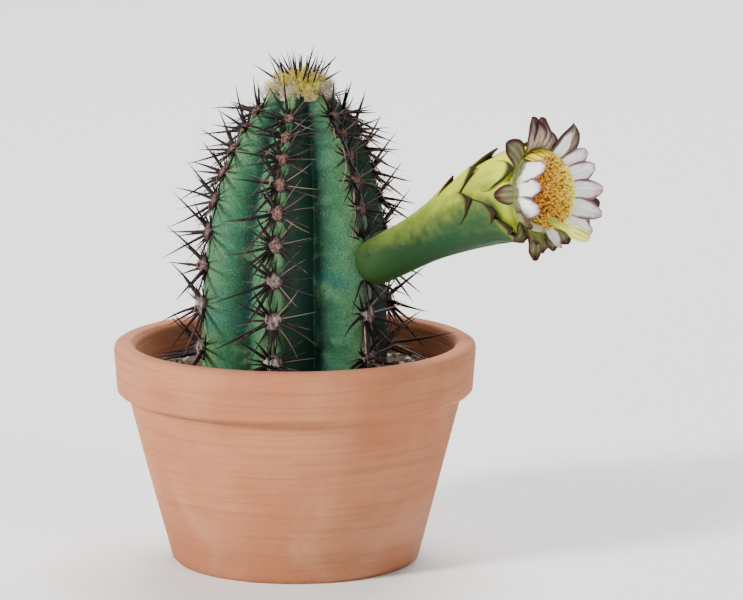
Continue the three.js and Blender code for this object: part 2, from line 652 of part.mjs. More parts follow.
// The stamens: a fluted bundle of filaments with a shallow dish of anthers on top.
function makeStamens() {
  const around = 24;
  const ring = (r, z, flute) =>
    Array.from({ length: around }, (_, k) => {
      const turn = (2 * Math.PI * k) / around;
      const radius = r + (k % 2 ? flute : -flute);
      return new THREE.Vector3(Math.cos(turn) * radius, Math.sin(turn) * radius, z);
    });
  const rings = [
    ring(8, GAP, 0.15),
    ring(8, 2, 0.2),
    ring(8.6, 3.6, 0.2),
    ring(STAMEN_RADIUS - 0.4, STAMEN_HEAD - 1, 0.15),
    ring(STAMEN_RADIUS - 1.1, STAMEN_HEAD, 0),
    ring(5, STAMEN_HEAD - 0.4, 0),
  ];
  const low = new THREE.Vector3(0, 0, GAP);
  const high = new THREE.Vector3(0, 0, STAMEN_HEAD - 0.9);
  const parts = [solid(closedSurface(rings, low, high))];
  for (let k = 0; k < ANTHERS; k++) {
    const share = Math.sqrt((k + 0.5) / ANTHERS);
    const turn = radians(137.508 * k);
    const r = (STAMEN_RADIUS - 0.1) * share;
    const z = STAMEN_HEAD - 0.35 + 0.5 * share - 1.1 * smoothstep(share, 0.86, 1) + 0.5 * draw(k, 41);
    const anther = new THREE.OctahedronGeometry(0.62, 0).scale(1, 1, 1.7);
    anther.rotateX((draw(k, 42) - 0.5) * 1.2).rotateY((draw(k, 43) - 0.5) * 1.2);
    parts.push(solid(anther.translate(Math.cos(turn) * r, Math.sin(turn) * r, z)));
  }
  return wholeBody(fuse(parts).subtract(makePistil(GAP)));
}

// The whole plant in its pot
const part = new THREE.Group();
part.add(named("pot", makePot(), 0xb5653d, 0.85));
part.add(named("soil", geometryOf(makeSoil()), 0x4a3628, 0.95));

const plant = new THREE.Group();
plant.position.z = SOIL_TOP;
plant.add(named("stem", geometryOf(makeStem()), 0x3f8a5c, 0.6));
plant.add(named("crown_wool", geometryOf(makeCrown()), 0xd9c98a, 0.95));
part.add(plant);

const flower = new THREE.Group();
flower.position.copy(flowerStart);
flower.rotation.z = flowerTurn;
flower.add(named("flower_tube", geometryOf(makeTube()), 0x7f9b3c, 0.55));
plant.add(flower);

const mouth = new THREE.Group();
const out = tubeLine.getTangentAt(1);
const side = new THREE.Vector3(0, 1, 0);
const over = new THREE.Vector3().crossVectors(out, side);
mouth.position.copy(tubeLine.getPointAt(1));
mouth.setRotationFromMatrix(new THREE.Matrix4().makeBasis(side, over.clone(), out));
mouth.add(named("outer_tepals", geometryOf(makeOuterTepals()), 0x7a6a4a, 0.6));
mouth.add(named("inner_tepals", geometryOf(makeInnerTepals()), 0xf3edee, 0.55));
mouth.add(named("stamens", geometryOf(makeStamens()), 0xd79a3c, 0.8));
mouth.add(named("pistil", geometryOf(makePistil()), 0xd8dc6a, 0.5));
flower.add(mouth);

export default part;
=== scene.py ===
"""A potted cutting of a six-ribbed columnar cactus with a woolly crown and one open flower.

Every shape is a surface worked out on a grid with numpy. Lengths in the functions are millimetres, and the
meshes are in metres. Heights of the plant are counted from the soil, which lies SOIL_TOP above the floor.
"""

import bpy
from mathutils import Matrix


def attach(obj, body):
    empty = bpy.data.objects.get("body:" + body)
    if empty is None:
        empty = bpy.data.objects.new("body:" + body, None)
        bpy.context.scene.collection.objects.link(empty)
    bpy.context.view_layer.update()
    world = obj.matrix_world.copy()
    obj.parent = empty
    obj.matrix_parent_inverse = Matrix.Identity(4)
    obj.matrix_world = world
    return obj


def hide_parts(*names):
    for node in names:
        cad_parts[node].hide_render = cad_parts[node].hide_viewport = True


bl_info = {
    "name": "Potted Ribbed Cactus",
    "version": (1, 0, 0),
    "blender": (4, 5, 0),
    "location": "3D View > Sidebar > Cactus",
    "description": "Builds a ribbed cactus in flower, in a clay pot, piece by piece",
    "category": "Add Mesh",
}

import math

import bpy
import numpy as np
from bpy.props import FloatProperty, FloatVectorProperty, IntProperty, PointerProperty

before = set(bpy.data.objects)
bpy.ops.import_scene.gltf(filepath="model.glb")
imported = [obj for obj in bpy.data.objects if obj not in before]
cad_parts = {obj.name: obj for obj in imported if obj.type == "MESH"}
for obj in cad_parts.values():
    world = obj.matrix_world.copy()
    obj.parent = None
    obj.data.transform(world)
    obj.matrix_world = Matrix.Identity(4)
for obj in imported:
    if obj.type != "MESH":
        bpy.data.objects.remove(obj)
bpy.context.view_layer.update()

MM = 0.001
GOLDEN_TURN = math.radians(137.508)

# Pot and soil, in millimetres: the two inside radii are those of the wall, at its floor and at the soil
POT_FLOOR = 6.0
DRAIN_HOLES = 3
DRAIN_RADIUS = 3.5
DRAIN_CIRCLE = 18
POT_INSIDE_FOOT = 30.0
POT_INSIDE_TOP = 42.4
SOIL_TOP = 53.0
SOIL_DEPTH = 45.5
SOIL_EDGE = 42.0
SOIL_RISE = 1.6
SOIL_LUMP = 0.35
RIM_ABOVE_SOIL = 9.0
RIM_REACH = 43.5

# Stem: bearings in degrees from the viewer's side, anticlockwise from above
RIBS = 6
RIB_TURN = 360 / RIBS
FIRST_RIB = -12.0
RIB_ROUNDNESS = 1.55
STEM_ROOTED = 20.0
# The bearing below is that of the key lamp: flanks that face away from it get painted shade, and spines on
# those ribs are painted paler.
KEY_LAMP_SIDE = -57.0
CLEARANCE = 1.2
LIFT_ROUNDS = 16

# Flower: angles in degrees, rising above level
FLOWER_HEIGHT = 34.7
FLOWER_RIB = 1
FLOWER_TURN = 51.0
FLOWER_SUNK = 1.4
TUBE_CHORD = 58.8
CHORD_RISE = 24.0
START_RISE = 25.0
MOUTH_RISE = 7.5

# Numbers of small pieces that no setting changes
FELT_HAIRS = 150
WOOL_TUFTS = 52
THIN_SPINES = 26
FAN_STRANDS = 54
RIM_STRANDS = 150


# Settings


def length_setting(name, description, default):
    """A length, its default in metres."""
    return FloatProperty(name=name, description=description, default=default, unit="LENGTH")


def colour_setting(name, description, *default):
    """A surface colour."""
    return FloatVectorProperty(name=name, description=description, size=3, default=default, subtype="COLOR")


def count_setting(name, description, default, least, most):
    """A number of pieces."""
    return IntProperty(name=name, description=description, default=default, min=least, max=most)


class StemSettings(bpy.types.PropertyGroup):
    """Sizes and colours of the ribbed stem."""

    height: length_setting("Height", "From the soil to the tip", 0.083)
    radius: length_setting("Crest Radius", "Axis to rib crest", 0.0272)
    depth: FloatProperty(
        name="Groove Depth", description="Share of the radius", default=0.36, subtype="FACTOR"
    )
    lean: length_setting("Lean", "Sideways shift of the tip", 0.0018)
    # The groove colour is painted shade deep in the recess between ribs.
    dark: colour_setting("Groove Green", "Skin deep in the grooves", 0.005, 0.026, 0.02)
    green: colour_setting("Flank Green", "Skin on the flanks", 0.032, 0.125, 0.058)
    light: colour_setting("Crest Green", "Skin near the crests", 0.12, 0.24, 0.1)


class SpineSettings(bpy.types.PropertyGroup):
    """Sizes and colours of the felt pads and spines."""

    areoles: count_setting("Areoles per Rib", "Felt pads on each rib", 9, 1, 12)
    lowest: length_setting("Lowest Areole", "Height of the first pad", 0.0076)
    spacing: length_setting("First Spacing", "Between the lowest pads", 0.0122)
    shrink: FloatProperty(name="Spacing Shrink", description="Each spacing over the last", default=0.895)
    pad: length_setting("Pad Radius", "Of the lowest pads", 0.0029)
    pad_top: length_setting("Top Pad Radius", "Of the youngest pads", 0.0015)
    central: length_setting("Central Length", "Longest spines", 0.019)
    radial: length_setting("Radial Length", "Spines round the pad", 0.0105)
    dark: colour_setting("Spine Brown", "Base of a spine", 0.012, 0.006, 0.008)
    # The tan is partly wear and partly painted highlight along a spine.
    pale: colour_setting("Spine Tan", "Worn side of a spine", 0.3, 0.2, 0.16)
    felt: colour_setting("Felt", "Grey wool of the pads", 0.2, 0.13, 0.135)


class CrownSettings(bpy.types.PropertyGroup):
    """Sizes and colours of the woolly crown."""

    radius: length_setting("Radius", "Of the woolly cap", 0.009)
    height: length_setting("Height", "Of the woolly cap", 0.0064)
    hairs: count_setting("Hairs", "Loose wool hairs", 2600, 100, 4000)
    spines: count_setting("Young Spines", "Stout spines in the wool", 12, 0, 40)
    cream: colour_setting("Cream", "Wool low on the crown", 0.62, 0.55, 0.36)
    yellow: colour_setting("Yellow", "Wool on top", 0.68, 0.56, 0.03)


class FlowerSettings(bpy.types.PropertyGroup):
    """Sizes and colours of the open flower."""

    tube: length_setting("Tube Radius", "At the foot", 0.0064)
    mouth: length_setting("Mouth Radius", "At the rim", 0.0123)
    filaments: count_setting("Stamens", "Filaments with anthers", 760, 50, 1200)
    head: length_setting("Stamen Height", "Rim to anthers", 0.0056)
    disc: length_setting("Stamen Radius", "Of the dish of anthers", 0.0098)
    # The two tube greens are partly the tube's own colour and partly painted shade below and painted light
    # above.
    under: colour_setting("Underside Green", "Lower side of the tube", 0.009, 0.036, 0.008)
    upper: colour_setting("Upper Green", "Upper side of the tube", 0.34, 0.41, 0.045)
    brown: colour_setting("Scale Brown", "Tips and edges", 0.014, 0.006, 0.003)
    white: colour_setting("Tepal White", "Inner tepals", 0.97, 0.96, 0.96)
    mauve: colour_setting("Tepal Mauve", "Tips of the inner tepals", 0.38, 0.17, 0.24)
    orange: colour_setting("Anther Orange", "Anthers", 0.68, 0.29, 0.035)
    style: colour_setting("Style Yellow", "Style and stigma", 0.5, 0.52, 0.035)


class PotSettings(bpy.types.PropertyGroup):
    """Sizes and colours of the pot and its soil."""

    height: length_setting("Height", "Of the pot", 0.062)
    top: length_setting("Top Radius", "Outside the rim", 0.051)
    foot: length_setting("Foot Radius", "Of the underside", 0.035)
    wall: length_setting("Wall", "Thickness of the clay", 0.005)
    rim: length_setting("Rim Height", "Of the band round the top", 0.014)
    stones: count_setting("Grit", "Stones on the soil", 900, 0, 3000)
    clay: colour_setting("Clay", "Fired clay", 0.4, 0.135, 0.055)
    soil: colour_setting("Soil", "Potting soil", 0.05, 0.03, 0.018)


class StageSettings(bpy.types.PropertyGroup):
    """The camera and the floor."""

    elevation: FloatProperty(
        name="Camera Elevation", description="Above the horizon", default=math.radians(10), subtype="ANGLE"
    )
    distance: length_setting("Camera Distance", "To the plant", 1.1)
    lens: FloatProperty(name="Lens", description="Focal length in millimetres", default=190)
    floor: colour_setting("Floor", "Pale floor", 0.93, 0.93, 0.92)


# Numbers


def draw(item, choice):
    """A repeatable draw from 0 to 1: the fraction of a very fast sine of the item's and choice's numbers."""
    wave = np.sin(np.asarray(item, float) * 12.9898 + choice * 78.233) * 43758.5453
    return wave - np.floor(wave)


def jitter(item, choice):
    """Three repeatable draws from -0.5 to 0.5 as a vector, by this choice and the next two."""
    return vectors(draw(item, choice), draw(item, choice + 1), draw(item, choice + 2)) - 0.5


def smoothstep(x, low, high):
    """0 below low, 1 above high, and 3t^2 - 2t^3 between them."""
    t = np.clip((np.asarray(x, float) - low) / (high - low), 0, 1)
    return t * t * (3 - 2 * t)


def mixed(a, b, share):
    """a where share is 0, b where it is 1, and a straight mix between."""
    return a + (b - a) * share


def bell(x, width):
    """1 at 0, falling off on both sides as exp(-(x / width)^2)."""
    return np.exp(-((x / width) ** 2))


def vectors(x, y, z):
    """Arrays of x, y and z as one array of points."""
    return np.stack(np.broadcast_arrays(x, y, z), -1).astype(float)


def unit(v):
    """Each vector over its own length."""
    return v / np.maximum(np.linalg.norm(v, axis=-1, keepdims=True), 1e-12)


def bearing(turn):
    """The horizontal direction at a turn in degrees: 0 faces -Y and 90 faces +X."""
    turn = np.radians(turn)
    return vectors(np.sin(turn), -np.cos(turn), 0)


def turns(count):
    """Angles in radians, evenly round a circle."""
    return 2 * np.pi * np.arange(count) / count


def circle(turn, r, z):
    """Points at an angle in radians, a distance from the Z axis and a height: (r cos, r sin, z)."""
    return vectors(np.cos(turn) * r, np.sin(turn) * r, z)


def copies(values):
    """One value a copy, ready to spread over each copy's rows and columns."""
    return np.asarray(values, float)[:, None, None]


def rays(root, way, length, shares):
    """Points along straight rays, root + way x length x share, as rays x shares x 3."""
    return root[:, None] + way[:, None] * length[:, None, None] * np.asarray(shares, float)[:, None]


def ripple(points, size, seed):
    """Noise from about -1 to 1: a sum of six sine waves of directions and phases drawn from the seed."""
    total = np.zeros(points.shape[:-1])
    for k in range(6):
        item = seed * 31 + k
        way = unit(vectors(*(draw(item, choice) * 2 - 1 for choice in (1, 2, 3))))
        pitch = 2 * math.pi / size * (0.7 + 0.8 * draw(item, 4))
        total += np.sin(points @ way * pitch + 6.28 * draw(item, 5))
    return total / 3.2


# Meshes


class Surface:
    """Points, faces and named values per point, gathered until they are made one mesh."""

    def __init__(self):
        self.points, self.quads, self.triangles, self.values = [], [], [], []
        self.count = 0

    def keep(self, points, quads, triangles, values):
        """Adds points, faces that count from the first of them, and the points' named values."""
        self.points.append(points.reshape(-1, 3))
        self.quads.append(self.count + quads.reshape(-1, 4))
        self.triangles.append(self.count + triangles.reshape(-1, 3))
        self.values.append(values)
        self.count += len(self.points[-1])

    def tubes(self, rings, low, high, **values):
        """Adds closed tubes. rings is copies x rows x columns x 3, or one copy's without the first axis, and
        low and high are a point a copy, which close its ends. A value spreads to copies x rows x columns."""
        rings = rings.reshape(-1, *rings.shape[-3:])
        shape = number, rows, columns = rings.shape[:3]
        low, high = (np.reshape(end, (-1, 1, 3)) for end in (low, high))
        body = np.concatenate([low, rings.reshape(number, -1, 3), high], 1)
        start = np.arange(number)[:, None, None] * body.shape[1]
        i, j = np.arange(rows)[:, None], np.arange(columns)
        at, following = 1 + i * columns + j, 1 + i * columns + (j + 1) % columns
        sides = np.stack([at[:-1], following[:-1], following[1:], at[1:]], -1).reshape(1, -1, 4)
        foot = np.stack([0 * j, following[0], at[0]], -1)
        tip = np.stack([0 * j + body.shape[1] - 1, at[-1], following[-1]], -1)
        spread = {}
        for name, value in values.items():
            flat = np.broadcast_to(value, shape).reshape(number, -1)
            first, last = (part.mean(1, keepdims=True) for part in (flat[:, :columns], flat[:, -columns:]))
            spread[name] = np.concatenate([first, flat, last], 1).ravel()
        self.keep(body, start + sides, start + np.concatenate([foot, tip]), spread)

    def needles(self, line, radii, sides, foot, **values):
        """Adds round needles along centre lines of copies x rows x 3, closed at foot, a point a copy, and at
        each line's last point."""
        rings = tube_rings(line[:, :-1], radii[..., :-1], sides)
        self.tubes(rings, foot, line[:, -1], **values)

    def hoop(self, ring):
        """Adds one ring of rows x columns x 3 that closes on itself both ways, as a torus does."""
        rows, columns, _ = ring.shape
        i, j = np.arange(rows)[:, None], np.arange(columns)
        row, column = (i + 1) % rows * columns, (j + 1) % columns
        corners = i * columns + j, i * columns + column, row + column, row + j
        quads = np.stack(np.broadcast_arrays(*corners), -1)
        self.keep(ring, quads, np.zeros((0, 3), int), {})

    def made(self, name, material, height=SOIL_TOP, smooth=True):
        """The mesh object: points in metres, raised by height, with a point attribute for each value."""
        points = (np.concatenate(self.points) + (0, 0, height)) * MM
        quads, triangles = np.concatenate(self.quads), np.concatenate(self.triangles)
        mesh = bpy.data.meshes.new(name)
        mesh.vertices.add(len(points))
        mesh.vertices.foreach_set("co", points.ravel())
        mesh.loops.add(quads.size + triangles.size)
        mesh.loops.foreach_set("vertex_index", np.concatenate([quads.ravel(), triangles.ravel()]))
        starts = np.concatenate([np.arange(len(quads)) * 4, quads.size + np.arange(len(triangles)) * 3])
        mesh.polygons.add(len(starts))
        mesh.polygons.foreach_set("loop_start", starts)
        mesh.polygons.foreach_set("use_smooth", np.full(len(starts), smooth))
        for key in sorted({key for values in self.values for key in values}):
            parts = [values.get(key, np.zeros(len(part))) for part, values in zip(self.points, self.values)]
            mesh.attributes.new(key, "FLOAT", "POINT").data.foreach_set("value", np.concatenate(parts))
        mesh.update(calc_edges=True)
        mesh.validate()
        mesh.materials.append(material)
        piece = bpy.data.objects.new(name, mesh)
        bpy.context.collection.objects.link(piece)
        return piece


def settle(piece, node):
    """The piece stands for a solid and rides on the one body."""
    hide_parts(node)
    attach(piece, "root")


def tube_rings(centres, radii, columns):
    """Rings round centre lines. centres is copies x rows x 3 and radii spreads to copies x rows. Each ring
    stands across the line's own direction, and a point is the centre plus cosine and sine of its angle times
    the radius."""
    along = unit(np.gradient(centres, axis=1))
    reference = np.where(np.abs(along[..., 2:]) < 0.9, [0.0, 0, 1], [1.0, 0, 0])
    aside = unit(np.cross(along, reference))
    over = np.cross(along, aside)
    angle = turns(columns)[:, None]
    spread = aside[:, :, None] * np.cos(angle) + over[:, :, None] * np.sin(angle)
    return centres[:, :, None] + spread * np.broadcast_to(radii, centres.shape[:2])[..., None, None]


def closed_blade(place, rows, columns):
    """The rings and ends of closed blades, then the grid they stand on. place gives a point at a share of
    the length, which closes up to the tip, an across that runs from -1 to 1 over the upper face and back over
    the lower one, and the face, 1 or -1."""
    share = np.sin(np.linspace(0, 0.5 * np.pi * 0.985, rows))[None, :, None]
    upper = np.linspace(-1, 1, columns)
    across = np.concatenate([upper, upper[-2:0:-1]])[None, None]
    face = np.repeat([1.0, -1.0], [columns, columns - 2])[None, None]
    foot, tip = (place(np.full((1, 1, 1), end), 0.0, 0.0)[:, 0, 0] for end in (-0.04, 1.0))
    return (place(share, across, face), foot, tip), share, across, face


def add_hairs(surface, root, way, length, radius, curl, rows, **values):
    """Thin tapering hairs: each runs from its root along its way, curled as a helix of its own phase."""
    t = np.linspace(0, 1, rows)
    item = np.arange(len(root)) + 11
    aside = unit(np.cross(way, jitter(item, 61)))
    over = np.cross(way, aside)
    phase = draw(item, 64)[:, None] * 6.28 + t * (3 + 5 * draw(item, 65))[:, None]
    swing = curl * length[:, None] * t
    line = rays(root, way, length, t)
    line += aside[:, None] * (np.cos(phase) * swing)[..., None]
    line += over[:, None] * (np.sin(phase) * swing)[..., None]
    surface.needles(line, radius * (1 - 0.75 * t**1.5), 3, root - way * radius, **values)


def add_spines(surface, root, way, length, thick, bow, power, flare, tone):
    """Spines: rays that bow aside as a half sine and taper as 1 - t^power, with a flare at the foot."""
    t = np.linspace(0, 1, 9)
    line = rays(root, way, length, t) + bow[:, None] * np.sin(np.pi * t)[:, None]
    taper = thick[:, None] * (1 - t**power) * (1 + flare * np.exp(-9 * t)) + 0.02
    surface.needles(line, taper, 6, root - way * 0.3, along=t[:-1, None], tone=copies(tone))


# Materials


class Channel:
    """One output of a material's nodes. Arithmetic on it adds Math nodes."""

    def __init__(self, paint, socket):
        self.paint, self.socket = paint, socket

    def maths(self, operation, *values, clamp=False):
        """A Math node with this operation on these values."""
        settings = {"operation": operation, "use_clamp": clamp}
        return self.paint.add("ShaderNodeMath", settings, dict(enumerate(values)))

    def __add__(self, other):
        return self.maths("ADD", self, other)

    def __sub__(self, other):
        return self.maths("SUBTRACT", self, other)

    def __rsub__(self, other):
        return self.maths("SUBTRACT", other, self)

    def __mul__(self, other):
        return self.maths("MULTIPLY", self, other)

    def __pow__(self, other):
        return self.maths("POWER", self, other)

    __radd__ = __add__
    __rmul__ = __mul__

    def clamped(self):
        """The value kept between 0 and 1."""
        return self.maths("ADD", self, 0.0, clamp=True)

    def between(self, low, high):
        """0 below low, 1 above high, and a smooth step between."""
        settings = {"interpolation_type": "SMOOTHSTEP"}
        return self.paint.add("ShaderNodeMapRange", settings, {0: self, 1: low, 2: high})


class Paint:
    """A material under construction."""

    def __init__(self, name):
        self.material = bpy.data.materials.new(name)
        self.material.use_nodes = True
        self.tree = self.material.node_tree
        self.tree.nodes.clear()

    def add(self, kind, settings, inputs, out=0):
        """Adds a node, sets what it is, then its sockets' values or links. Returns one of its outputs."""
        node = self.tree.nodes.new(kind)
        for name, value in settings.items():
            if name == "stops":
                while len(node.color_ramp.elements) < len(value):
                    node.color_ramp.elements.new(0.5)
                for element, (position, colour) in zip(node.color_ramp.elements, value):
                    element.position, element.color = position, (*colour, 1)
            else:
                setattr(node, name, value)
        for key, value in inputs.items():
            if isinstance(value, Channel):
                self.tree.links.new(value.socket, node.inputs[key])
            elif node.inputs[key].type == "RGBA":
                node.inputs[key].default_value = (*value, 1)
            else:
                node.inputs[key].default_value = value
        return Channel(self, node.outputs[out]) if node.outputs else None

    def noise(self, size, detail=3.0, rough=0.55, scale=(1, 1, 1), warp=0.0):
        """Noise from 0 to 1 on the object's own coordinates, in patches about size millimetres across."""
        here = self.add("ShaderNodeTexCoord", {}, {}, out="Object")
        place = self.add("ShaderNodeMapping", {}, {"Vector": here, "Scale": scale})
        inputs = {"Vector": place, "Scale": 1 / (size * MM), "Detail": detail, "Roughness": rough}
        return self.add("ShaderNodeTexNoise", {}, {**inputs, "Distortion": warp})

    def values(self, *names):
        """The values that the mesh holds at each point under these names."""
        return [self.add("ShaderNodeAttribute", {"attribute_name": name}, {}, out="Fac") for name in names]

    def mix(self, share, a, b, label=""):
        """Colour a where share is 0 and b where it is 1."""
        return self.add("ShaderNodeMix", {"data_type": "RGBA", "label": label}, {0: share, 6: a, 7: b}, out=2)

    def layers(self, colour, **coats):
        """The colour under its coats, laid on in turn. A coat is its share and its colour."""
        for name, (share, coat) in coats.items():
            colour = self.mix(share, colour, coat, name)
        return colour

    def bump(self, height, depth):
        """A normal tilted by height, where 1 stands depth millimetres proud."""
        return self.add("ShaderNodeBump", {}, {"Height": height, "Distance": depth * MM, "Strength": 1.0})

    def finish(self, colour, roughness, **rest):
        """Closes the material with one Principled surface. rest holds its other sockets."""
        inputs = {name.replace("_", " "): value for name, value in rest.items()}
        inputs.update({"Base Color": colour, "Roughness": roughness})
        shader = self.add("ShaderNodeBsdfPrincipled", {}, inputs)
        self.add("ShaderNodeOutputMaterial", {}, {"Surface": shader})
        return self.material


def skin_material(stem):
    """Cactus skin: near-black in the grooves as painted shade, green on the flanks and yellower by the
    crests, with blue-green washes, pale blotches and a fine grain. Flanks that face away from the key lamp
    get painted shade, a near-black green."""
    paint = Paint("cactus_skin")
    crest, height, shade = paint.values("crest", "height", "shade")
    wash = paint.noise(24, 2.5, 0.6, warp=0.8)
    blotch = paint.noise(7, 4, 0.6, warp=0.5)
    grain = paint.noise(0.45, 2, 0.75)
    low = 1 - height.between(0.5, 1.0)
    colour = paint.layers(
        # The base colour is painted shade in the grooves; the flank and crest coats cover it away from them.
        stem.dark,
        flank=((crest + blotch * 0.34 - 0.17).between(0.0, 0.55), stem.green),
        crest=((crest + wash * 0.5 + blotch * 0.4 - 0.45).between(0.4, 1.0) * 0.85, stem.light),
        blue_wash=((wash + blotch * 0.3).between(0.6, 0.85) * low * 0.7, (0.012, 0.1, 0.09)),
        pale_blotch=(blotch.between(0.5, 0.75) * (1 - height * 0.6) * 0.55, (0.17, 0.33, 0.12)),
        dark_grain=(grain.between(0.42, 0.68) * 0.55, (0.008, 0.042, 0.022)),
        pale_grain=((1 - grain).between(0.55, 0.75) * 0.3, (0.2, 0.33, 0.16)),
        # Painted shade: near-black green on the flanks that face away from the key lamp.
        shade=(
            (shade + blotch * 0.3 - 0.15).clamped() * 0.88,
            paint.mix(grain, (0.001, 0.007, 0.006), (0.009, 0.032, 0.024)),
        ),
    )
    normal = paint.bump(grain * 0.4 + blotch, 0.14)
    return paint.finish(colour, paint.noise(3) * 0.2 + 0.45, Normal=normal, Specular_IOR_Level=0.12)


def spine_material(spines):
    """Spines: near-black brown at the base, streaked with tan along them, partly wear and partly painted
    highlight, and horn-brown tips.
    """
    paint = Paint("spine_horn")
    along, tone = paint.values("along", "tone")
    streak = paint.noise(0.9, 3, 0.7)
    # The tan streaks are partly wear and partly painted highlight along the spines.
    worn = ((streak - 0.5) * 1.2 + tone * 1.5 + along * 0.3 - 1.15).clamped()
    colour = paint.layers(
        spines.dark,
        worn=(worn * 0.9, spines.pale),
        tip=(along.between(0.45, 1.0) * 0.3, (0.08, 0.045, 0.036)),
    )
    return paint.finish(colour, 0.5, Normal=paint.bump(streak, 0.05), Specular_IOR_Level=0.14)


def felt_material(spines):
    """Felt: pinkish grey wool, browner in the middle of young pads and paler on old ones, with a dark rim of
    painted shade round each pad.
    """
    paint = Paint("areole_felt")
    age, edge = paint.values("age", "edge")
    fluff = paint.noise(0.5, 3, 0.7)
    patch = paint.noise(2.2, 2, 0.6)
    strand = paint.noise(0.8, 3, 0.7, scale=(1, 1, 0.45))
    young = ((1 - edge * 0.8) * (1.15 - age) * patch.between(0.3, 0.55)).clamped()
    old = (age.between(0.4, 0.9) * strand.between(0.45, 0.58)).clamped()
    colour = paint.layers(
        (0.016, 0.01, 0.013),
        wool=(fluff.between(0.4, 0.58), spines.felt),
        young_heart=(young * fluff.between(0.3, 0.65) * 0.85, (0.26, 0.115, 0.035)),
        old_strand=(old * 0.8, (0.42, 0.38, 0.35)),
        # Painted shade: the rim of each pad is darkened where it meets the skin.
        hem=(edge.between(0.7, 1.0) * 0.7, (0.03, 0.022, 0.025)),
    )
    return paint.finish(colour, 0.95, Normal=paint.bump(fluff, 0.2), Specular_IOR_Level=0.1)


def wool_material(crown):
    """Crown wool: cream and grey below, strong yellow on top, with paler strands."""
    paint = Paint("crown_wool")
    top, tone = paint.values("top", "tone")
    colour = paint.layers(
        (0.26, 0.18, 0.12),
        cream=(paint.noise(0.8, 3, 0.7).between(0.3, 0.7), crown.cream),
        yellow=((top + tone * 0.3 - 0.15).between(0.25, 0.75), crown.yellow),
        pale_strand=(tone.between(0.86, 0.95) * 0.5, (0.7, 0.6, 0.4)),
    )
    return paint.finish(colour, 0.9, Sheen_Weight=0.3)


def tube_material(flower):
    """Flower tube and scales: dark green below and yellow-green above, partly their own colour and partly
    painted shade below and painted light above, paler to the mouth, with painted shade along the grooves
    between the scales' backs on the lower side and painted light on the upper side, with maroon-brown edges
    and tips on the scales and brown undersides."""
    paint = Paint("flower_tube")
    along, up, tip, rim, streak = paint.values("along", "up", "tip", "rim", "streak")
    mottle = paint.noise(3.2, 3, 0.6)
    grain = paint.noise(0.35, 2, 0.7)
    spotted = mottle * 0.2
    # Painted light and shade: the upper side of the tube is painted yellow and the lower side dark green.
    painted_top_light = (up + mottle * 0.3 - 0.15).between(0.25, 0.6)
    groove = paint.mix(painted_top_light, (0.012, 0.045, 0.014), (0.62, 0.66, 0.03))
    tipped = tip + mottle * 0.4 - 0.2
    colour = paint.layers(
        flower.under,
        # These coats are partly the tube's own colour and partly painted light on the upper side and painted
        # shade on the lower side.
        upper=((up * 0.8 + along * 0.5 + mottle * 0.5 - 0.62).clamped(), flower.upper),
        yellow=((along * up + spotted).between(0.28, 0.75) * 0.8, (0.52, 0.6, 0.02)),
        deep_green=(((1 - up) * along + spotted).between(0.3, 0.65) * 0.6, (0.01, 0.056, 0.027)),
        # Painted shade in the grooves between the scales' backs, painted light yellow on the upper side.
        groove=(streak * along.between(0.35, 0.7) * 0.75, groove),
        mouth=(along.between(0.88, 0.97) * (up * 0.5 + 0.4), (0.58, 0.67, 0.02)),
        foot=((1 - along).between(0.8, 1.0) * 0.75, (0.018, 0.05, 0.01)),
        grain=(grain.between(0.5, 0.72) * 0.3, (0.03, 0.1, 0.025)),
        olive_tip=(tipped.between(0.1, 0.45) * 0.8, (0.07, 0.075, 0.015)),
        brown_tip=(tipped.between(0.35, 0.7) * 0.95, flower.brown),
        maroon_tip=(tip.between(0.85, 1.0) * 0.3, (0.035, 0.003, 0.003)),
        underside=((rim * tip).between(0.02, 0.4) * 0.8, (0.03, 0.01, 0.009)),
    )
    normal = paint.bump(grain * 0.4 + mottle * 0.6, 0.12)
    return paint.finish(colour, mottle * 0.2 + 0.48, Normal=normal, Specular_IOR_Level=0.2)


def outer_material():
    """Outer tepals: olive and grey-green, browner to the tip, with dark maroon edges and soft lengthwise
    veins. The side that faces the axis is dull green, or pinkish brown with pale stripes on some of them."""
    paint = Paint("outer_tepal")
    along, across, tone = paint.values("along", "across", "tone")
    vein, inside, striped = paint.values("vein", "inside", "striped")
    mottle = paint.noise(1.6, 3, 0.65)
    ageing = (along * 0.8 + tone * 0.9 + mottle * 0.4 - 0.75).clamped()
    outside = paint.mix(ageing, (0.24, 0.29, 0.11), (0.14, 0.1, 0.045))
    stripe = vein * mottle.between(0.2, 0.6) * (1 - across * 0.7)
    pale = paint.mix(stripe, (0.38, 0.22, 0.17), (0.95, 0.85, 0.66))
    dull = paint.mix(vein * 0.8, (0.12, 0.1, 0.045), (0.27, 0.29, 0.13))
    dark = (along + mottle * 0.4 + across * 0.3 - 0.35).between(0.6, 1.0)
    ripe = (along + tone * 0.25 + across * 0.15 + mottle * 0.2 - 0.3).between(0.5, 0.9)
    colour = paint.layers(
        outside,
        inside=(inside, paint.mix(striped, dull, pale)),
        dark_end=(dark * 0.9, (0.025, 0.009, 0.007)),
        dark_edge=((across + along * 0.35).between(0.55, 1.15) * 0.9, (0.03, 0.009, 0.006)),
        red_corner=((across * along).between(0.55, 0.95) * 0.8, (0.09, 0.004, 0.006)),
        maroon_tip=(ripe * 0.8, (0.055, 0.008, 0.009)),
        vein=(vein * (1 - inside) * 0.2, (0.3, 0.28, 0.13)),
        # Partly the collar's own olive and partly painted shade where the tepals meet the tube.
        collar=((1 - along).between(0.8, 1.0) * 0.9, (0.2, 0.22, 0.04)),
    )
    normal = paint.bump(mottle * 0.5 + vein, 0.12)
    return paint.finish(colour, 0.55, Normal=normal, Specular_IOR_Level=0.2)


